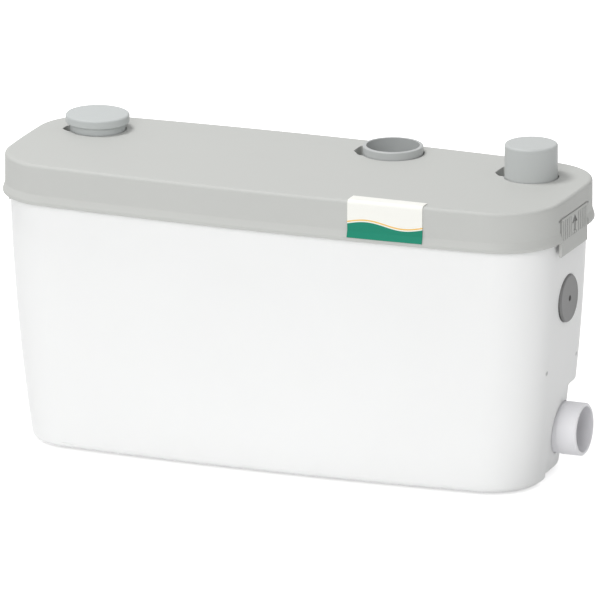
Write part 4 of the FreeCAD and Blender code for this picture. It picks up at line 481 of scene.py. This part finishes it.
class FinishCase(bpy.types.Operator):
    """Finishes of the tank, cover, clips, gasket, seals and pads, with painted shade in the end
    wall's dimples and in the clips' grooves, slits and arrow pit
    """
    bl_idname = "station.finish_case"
    bl_label = "Case"

    def execute(self, context):
        case = context.scene.station_case
        tank = plastic("tank_gloss_white", case.tank_colour, case.tank_roughness,
                       grain_size=0.0016, grain_depth=0.0000004, dust=0.0, marks=0.3,
                       specular=0.04, edge=0.0)
        self.add_dimples(tank, case)
        dress(tank, "tank")
        cover, clips = [
            plastic(name, case.cover_colour, case.cover_roughness, grain_size=case.grain_size,
                    grain_depth=0.00001, wear=0.0, dust=0.0, specular=0.3, edge=0.0009)
            for name in ("cover_satin_grey", "clip_grey")]
        dress(cover, "cover")
        self.shade_clips(clips, case)
        dress(clips, "right_clip", "left_clip")
        dress(rubber("black_rubber", case.rubber_colour), "cover_gasket", "rubber_pads",
              "inlet_seal", "spigot_seal", "pump_bushes", "shaft_seal", "discharge_sleeve")
        return {"FINISHED"}

    def add_dimples(self, material, case):
        """Two small round dimples low on the end wall, as bumps and a soft painted shade."""
        sheet = NodeSheet(material.node_tree)
        place = sheet.place()
        radius, full_radius = case.dimple_radius, case.dimple_radius * DIMPLE_CORE
        spots = [sheet.ramp(sheet.away_on_end(place, spot), radius, full_radius)
                 for spot in DIMPLES]
        at_end = sheet.ramp(sheet.axes(place)["X"], END_WALL, END_WALL_FULL)
        mask = sheet.product(sheet.value("ADD", *spots), at_end)
        socket, grained = input_source(material, "Normal")
        sheet.join(sheet.bump(mask, strength=0.8, depth=0.0006, normal=grained, invert=True),
                   socket)
        paint_shade(material, sheet, sheet.product(mask, DIMPLE_SHADE), case.tank_colour,
               share=0.45)

    def shade_clips(self, material, case):
        """Painted shade in the grooves, slits and arrow pit of each clip, deepest in the arrow's
        head.
        """
        sheet = NodeSheet(material.node_tree)
        low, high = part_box("right_clip")
        face, foot = high[0], case.arrow_height
        across, aside, up = sheet.axes(sheet.place())
        out = sheet.value("ABSOLUTE", across)
        beside = sheet.value("ABSOLUTE", sheet.value("SUBTRACT", aside, (low[1] + high[1]) / 2))
        sunk = sheet.within(out, face - SUNK_TO, face - SUNK_FROM, SUNK_FADE)
        pit = sheet.product(
            sunk, sheet.ramp(beside, PIT_HALF_WIDTH, PIT_HALF_WIDTH - PIT_SIDE_FADE),
            sheet.within(up, foot - PIT_BELOW, foot + PIT_ABOVE, PIT_BELOW_FADE, PIT_ABOVE_FADE),
            sheet.ramp(up, foot - HEAD_FADE, foot + HEAD_FADE, SHAFT_SHADE, HEAD_SHADE))
        grooves = sheet.product(
            sunk, sheet.ramp(beside, GROOVES_HALF_WIDTH, GROOVES_HALF_WIDTH - GROOVES_SIDE_FADE),
            sheet.ramp(up, foot - GROOVES_BELOW, foot - GROOVES_BELOW + GROOVES_BELOW_FADE),
            GROOVE_SHADE)
        plate = (high[1] - low[1]) / 2 - case.clip_pin_length
        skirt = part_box("cover")[0][2]
        slits = sheet.product(
            sheet.ramp(beside, plate - SLIT_START, plate - SLIT_FULL, to_high=SLIT_SHADE),
            sheet.ramp(up, skirt, skirt + SLIT_FOOT_FADE))
        # Painted shade: the clips' colour darkened in the pit, the grooves and the slits beside
        # the plate
        shade = sheet.value("MAXIMUM", sheet.value("MAXIMUM", pit, grooves), slits)
        paint_shade(material, sheet, shade, case.cover_colour, share=0.2)


# Plug: core and painted shade of its dimple, and the painted shade of its rim with depths behind
# the outer face
PLUG_CORE, PLUG_SHADE = 0.8, 0.85
RIM_START, RIM_FULL, RIM_SHADE = 0.0012, 0.0024, 0.7


class FinishFittings(bpy.types.Operator):
    """Finishes of the inlet collar, blanking cap, vent, side plug and spigot, with painted shade
    in the plug's dimple and round its rim
    """
    bl_idname = "station.finish_fittings"
    bl_label = "Fittings"

    def execute(self, context):
        fittings = context.scene.station_fittings
        dress(plastic("collar_satin_grey", fittings.collar_colour, roughness=0.42, dust=0.0),
              "inlet_collar", "blanked_socket", "pressure_bell")
        dress(plastic("cap_satin_grey", fittings.cap_colour, roughness=0.4, dust=0.0,
                      specular=0.25), "blanking_cap")
        dress(plastic("vent_satin_grey", fittings.vent_colour, roughness=0.42, dust=0.0,
                      specular=0.1), "vent_cap", "vent_seat", "filter_basket")
        plug = rubber("plug_rubber", fittings.plug_colour, roughness=0.42, dust=0.0)
        self.shade_plug(plug, fittings)
        dress(plug, "side_plug")
        dress(plastic("spigot_satin_white", fittings.spigot_colour, roughness=0.45, dust=0.0),
              "discharge_spigot")
        dress(plastic("carbon_foam", fittings.carbon_colour, roughness=0.95, grain_size=0.0022,
                      grain_depth=0.0006, wear=0.0, marks=0.0), "carbon_cartridge")
        return {"FINISHED"}

    def shade_plug(self, material, fittings):
        """Painted shade in the plug's dimple and a painted shadow where its rim meets the wall.
        """
        sheet = NodeSheet(material.node_tree)
        low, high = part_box("side_plug")
        place = sheet.place()
        middle = ((low[1] + high[1]) / 2, (low[2] + high[2]) / 2)
        radius, full_radius = fittings.plug_dimple_radius, fittings.plug_dimple_radius * PLUG_CORE
        hole = sheet.ramp(sheet.away_on_end(place, middle), radius, full_radius,
                          to_high=PLUG_SHADE)
        rim = sheet.ramp(sheet.axes(place)["X"], high[0] - RIM_START, high[0] - RIM_FULL,
                         to_high=RIM_SHADE)
        paint_shade(material, sheet, sheet.value("MAXIMUM", hole, rim), fittings.plug_colour,
               share=0.15)


# Print of the badge: soft edges, and the gap over the band as a share of the line's width
BAND_FADE, LINE_FADE, LINE_GAP = 0.00012, 0.0001, 0.8


class MakeBadge(bpy.types.Operator):
    """Bare generic badge: pale plate, low coloured band and a line that follows it"""
    bl_idname = "station.make_badge"
    bl_label = "Badge"

    def execute(self, context):
        badge = context.scene.station_badge
        material, sheet, shader = start_material("badge_laminate")
        grain = shared_group(sheet, "moulded_grain", Colour=self.print_colour(sheet, badge),
                             Grain_Scale=500.0, Roughness=0.3, Drift=0.02).outputs
        sheet.join(grain["Colour"], shader.inputs["Base Color"])
        sheet.join(grain["Roughness"], shader.inputs["Roughness"])
        edges = shared_group(sheet, "worn_edges", Width=0.0005, Amount=0.0).outputs
        sheet.join(edges["Normal"], shader.inputs["Normal"])
        shader.inputs["Specular IOR Level"].default_value = 0.25
        dress(material, "badge")
        return {"FINISHED"}

    def print_colour(self, sheet, badge):
        """Colour of the plate, with one wave of the band along it and the line over the band."""
        low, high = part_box("badge")
        along, _, up = sheet.axes(sheet.place())
        turn = sheet.product(sheet.value("SUBTRACT", along, low[0]),
                             math.tau / (high[0] - low[0]))
        wave = sheet.product(sheet.value("SINE", turn), badge.wave_rise)
        over = sheet.value("SUBTRACT", up, sheet.value("ADD", wave, low[2] + badge.band_height))
        line_low = badge.line_width * LINE_GAP
        line_high = line_low + badge.line_width
        line = sheet.within(over, line_low - LINE_FADE, line_high + LINE_FADE, 2 * LINE_FADE)
        lined = sheet.blend(line, badge.plate_colour, badge.line_colour)
        return sheet.blend(sheet.ramp(over, BAND_FADE, -BAND_FADE), lined, badge.band_colour)


class FinishWorks(bpy.types.Operator):
    """Finishes of the pump, motor, valves, level sensing and electrics inside the tank"""
    bl_idname = "station.finish_works"
    bl_label = "Pump, motor and controls"

    def execute(self, context):
        works = context.scene.station_works
        dress(plastic("pump_filled_plastic", works.pump_colour, roughness=0.55,
                      grain_size=0.0007, grain_depth=0.00003),
              "pump_volute", "pump_backplate", "suction_strainer")
        dress(plastic("impeller_moulding", works.impeller_colour, roughness=0.4), "impeller")
        dress(metal("motor_die_cast", works.motor_colour, roughness=0.45, fineness=0.3),
              "motor_housing", "motor_cap")
        dress(metal("stainless_steel", works.steel_colour, roughness=0.28),
              "pump_shaft", "valve_pin", "side_flap_pin", "lower_bearing", "upper_bearing",
              "sleeve_bands", "capacitor_strap")
        dress(metal("plated_screws", works.screw_colour, roughness=0.35),
              "casing_screws", "pump_screws", "motor_cap_screws", "hatch_screws", "lid_screws",
              "impeller_nut")
        dress(metal("lamination_stack", works.core_colour, roughness=0.5, fineness=2.0),
              "stator_core", "rotor_core")
        dress(metal("enamelled_windings", works.copper_colour, roughness=0.35, fineness=1.5),
              "stator_windings")
        dress(plastic("valve_moulding", works.valve_colour, roughness=0.45),
              "valve_housing", "valve_hatch", "side_inlet_socket")
        dress(rubber("flap_rubber", works.flap_colour, roughness=0.6), "valve_flap", "side_flap")
        dress(plastic("control_box_moulding", works.box_colour, roughness=0.5),
              "control_box", "control_box_lid", "cable_gland", "gland_nut")
        dress(plastic("silicone_hose", works.hose_colour, roughness=0.35, wear=0.0), "air_hose")
        dress(rubber("cable_sheath", works.sheath_colour, roughness=0.55), "motor_lead")
        dress(plastic("capacitor_can", works.can_colour, roughness=0.3), "capacitor")
        dress(plastic("natural_nylon", works.nylon_colour, roughness=0.5),
              "pressure_switch", "switch_plunger", "terminal_block")
        return {"FINISHED"}


# Stage


# Lamps as (place, size of the disk), aimed at a point inside the station
KEY_LAMP = (Vector((0.6, -5.8, 2.9)), 3.6)
TOP_LAMP = (Vector((-0.7, -0.15, 2.35)), 0.8)
LAMP_AIM = Vector((0.0, 0.0, 0.11))
FLOOR_HALF_SIZE, FLOOR_DROP, FLOOR_ROUGHNESS = 6.0, 0.0002, 0.75
# The camera's aim from the middle of the cover's top, in the plane of the picture
AIM_RIGHT, AIM_DOWN = 0.0013, 0.10184
SENSOR_WIDTH, CLIP_START, CLIP_END = 36.0, 0.5, 100.0


class SetStage(bpy.types.Operator):
    """Pale floor, soft studio light and the camera"""
    bl_idname = "station.set_stage"
    bl_label = "Stage"

    def execute(self, context):
        scene, stage = context.scene, context.scene.station_stage
        scene.view_settings.view_transform = "Standard"
        self.make_floor(scene, stage)
        self.light_world(scene, stage)
        self.hang_lamp(scene, "key_lamp", *KEY_LAMP, stage.key_power)
        self.hang_lamp(scene, "top_lamp", *TOP_LAMP, stage.top_power)
        self.set_camera(scene, stage)
        return {"FINISHED"}

    def make_floor(self, scene, stage):
        """Floor just under the pads, lifted to white for the camera and in gloss."""
        half = FLOOR_HALF_SIZE
        mesh = bpy.data.meshes.new("floor")
        corners = [(-half, -half, 0), (half, -half, 0), (half, half, 0), (-half, half, 0)]
        mesh.from_pydata(corners, [], [(0, 1, 2, 3)])
        floor = bpy.data.objects.new("floor", mesh)
        floor.location.z = -FLOOR_DROP
        scene.collection.objects.link(floor)
        material, sheet, shader = start_material("floor_pale")
        shader.inputs["Base Color"].default_value = (*stage.floor_colour, 1.0)
        shader.inputs["Roughness"].default_value = FLOOR_ROUGHNESS
        shader.inputs["Emission Color"].default_value = (*WHITE, 1.0)
        sheet.join(sheet.product(sheet.seen(), stage.floor_glow),
                   shader.inputs["Emission Strength"])
        mesh.materials.append(material)

    def light_world(self, scene, stage):
        """Even light on the object, under a white background."""
        world = bpy.data.worlds.new("studio_fill")
        scene.world = world
        world.use_nodes = True
        world.node_tree.nodes.clear()
        sheet = NodeSheet(world.node_tree)
        back = sheet.add("ShaderNodeBackground")
        sheet.give(back.inputs["Color"], WHITE)
        sheet.join(sheet.ramp(sheet.seen(), low=0.0, high=1.0, to_low=stage.sky_level),
                   back.inputs["Strength"])
        output = sheet.add("ShaderNodeOutputWorld")
        sheet.join(back.outputs[0], output.inputs[0])

    def hang_lamp(self, scene, name, place, size, power):
        """Soft round lamp that the camera doesn't see."""
        data = bpy.data.lights.new(name, "AREA")
        data.shape = "DISK"
        data.size = size
        data.energy = power
        lamp = bpy.data.objects.new(name, data)
        lamp.location = place
        lamp.rotation_euler = (LAMP_AIM - place).to_track_quat("-Z", "Y").to_euler()
        lamp.visible_camera = False
        scene.collection.objects.link(lamp)

    def set_camera(self, scene, stage):
        """Camera at the photograph's angle, far off and with a long lens."""
        a, e = stage.azimuth, stage.elevation
        back = Vector((math.sin(a) * math.cos(e), -math.cos(a) * math.cos(e), math.sin(e)))
        right = Vector((math.cos(a), math.sin(a), 0.0))
        up = Vector((-math.sin(a) * math.sin(e), math.cos(a) * math.sin(e), math.cos(e)))
        cover_top = Vector((0.0, 0.0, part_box("cover")[1][2]))
        target = cover_top + right * AIM_RIGHT - up * AIM_DOWN
        data = bpy.data.cameras.new("camera")
        data.lens = stage.lens
        data.sensor_width = SENSOR_WIDTH
        data.clip_start = CLIP_START
        data.clip_end = CLIP_END
        camera = bpy.data.objects.new("camera", data)
        camera.location = target + back * stage.distance
        camera.rotation_mode = "QUATERNION"
        camera.rotation_quaternion = (-back).to_track_quat("-Z", "Y")
        scene.collection.objects.link(camera)
        scene.camera = camera


# Panel and registration


OPERATORS = (FinishCase, FinishFittings, MakeBadge, FinishWorks, SetStage)


class StationPanel(bpy.types.Panel):
    """Buttons and settings of the station"""
    bl_idname = "VIEW3D_PT_station"
    bl_label = "Lifting station"
    bl_space_type = "VIEW_3D"
    bl_region_type = "UI"
    bl_category = "Station"

    def draw(self, context):
        for operator in OPERATORS:
            self.layout.operator(operator.bl_idname)
        for key, settings in SETTINGS.items():
            box = self.layout.box()
            box.label(text=settings.__name__.replace("Settings", ""))
            for name in settings.__annotations__:
                box.prop(getattr(context.scene, key), name)


CLASSES = (*SETTINGS.values(), *OPERATORS, StationPanel)


def register():
    for item in CLASSES:
        bpy.utils.register_class(item)
    for key, settings in SETTINGS.items():
        setattr(bpy.types.Scene, key, PointerProperty(type=settings))


def unregister():
    for key in SETTINGS:
        delattr(bpy.types.Scene, key)
    for item in reversed(CLASSES):
        bpy.utils.unregister_class(item)


def main():
    register()
    bpy.ops.station.finish_case()
    bpy.ops.station.finish_fittings()
    bpy.ops.station.make_badge()
    bpy.ops.station.finish_works()
    bpy.ops.station.set_stage()


if __name__ == "__main__":
    main()
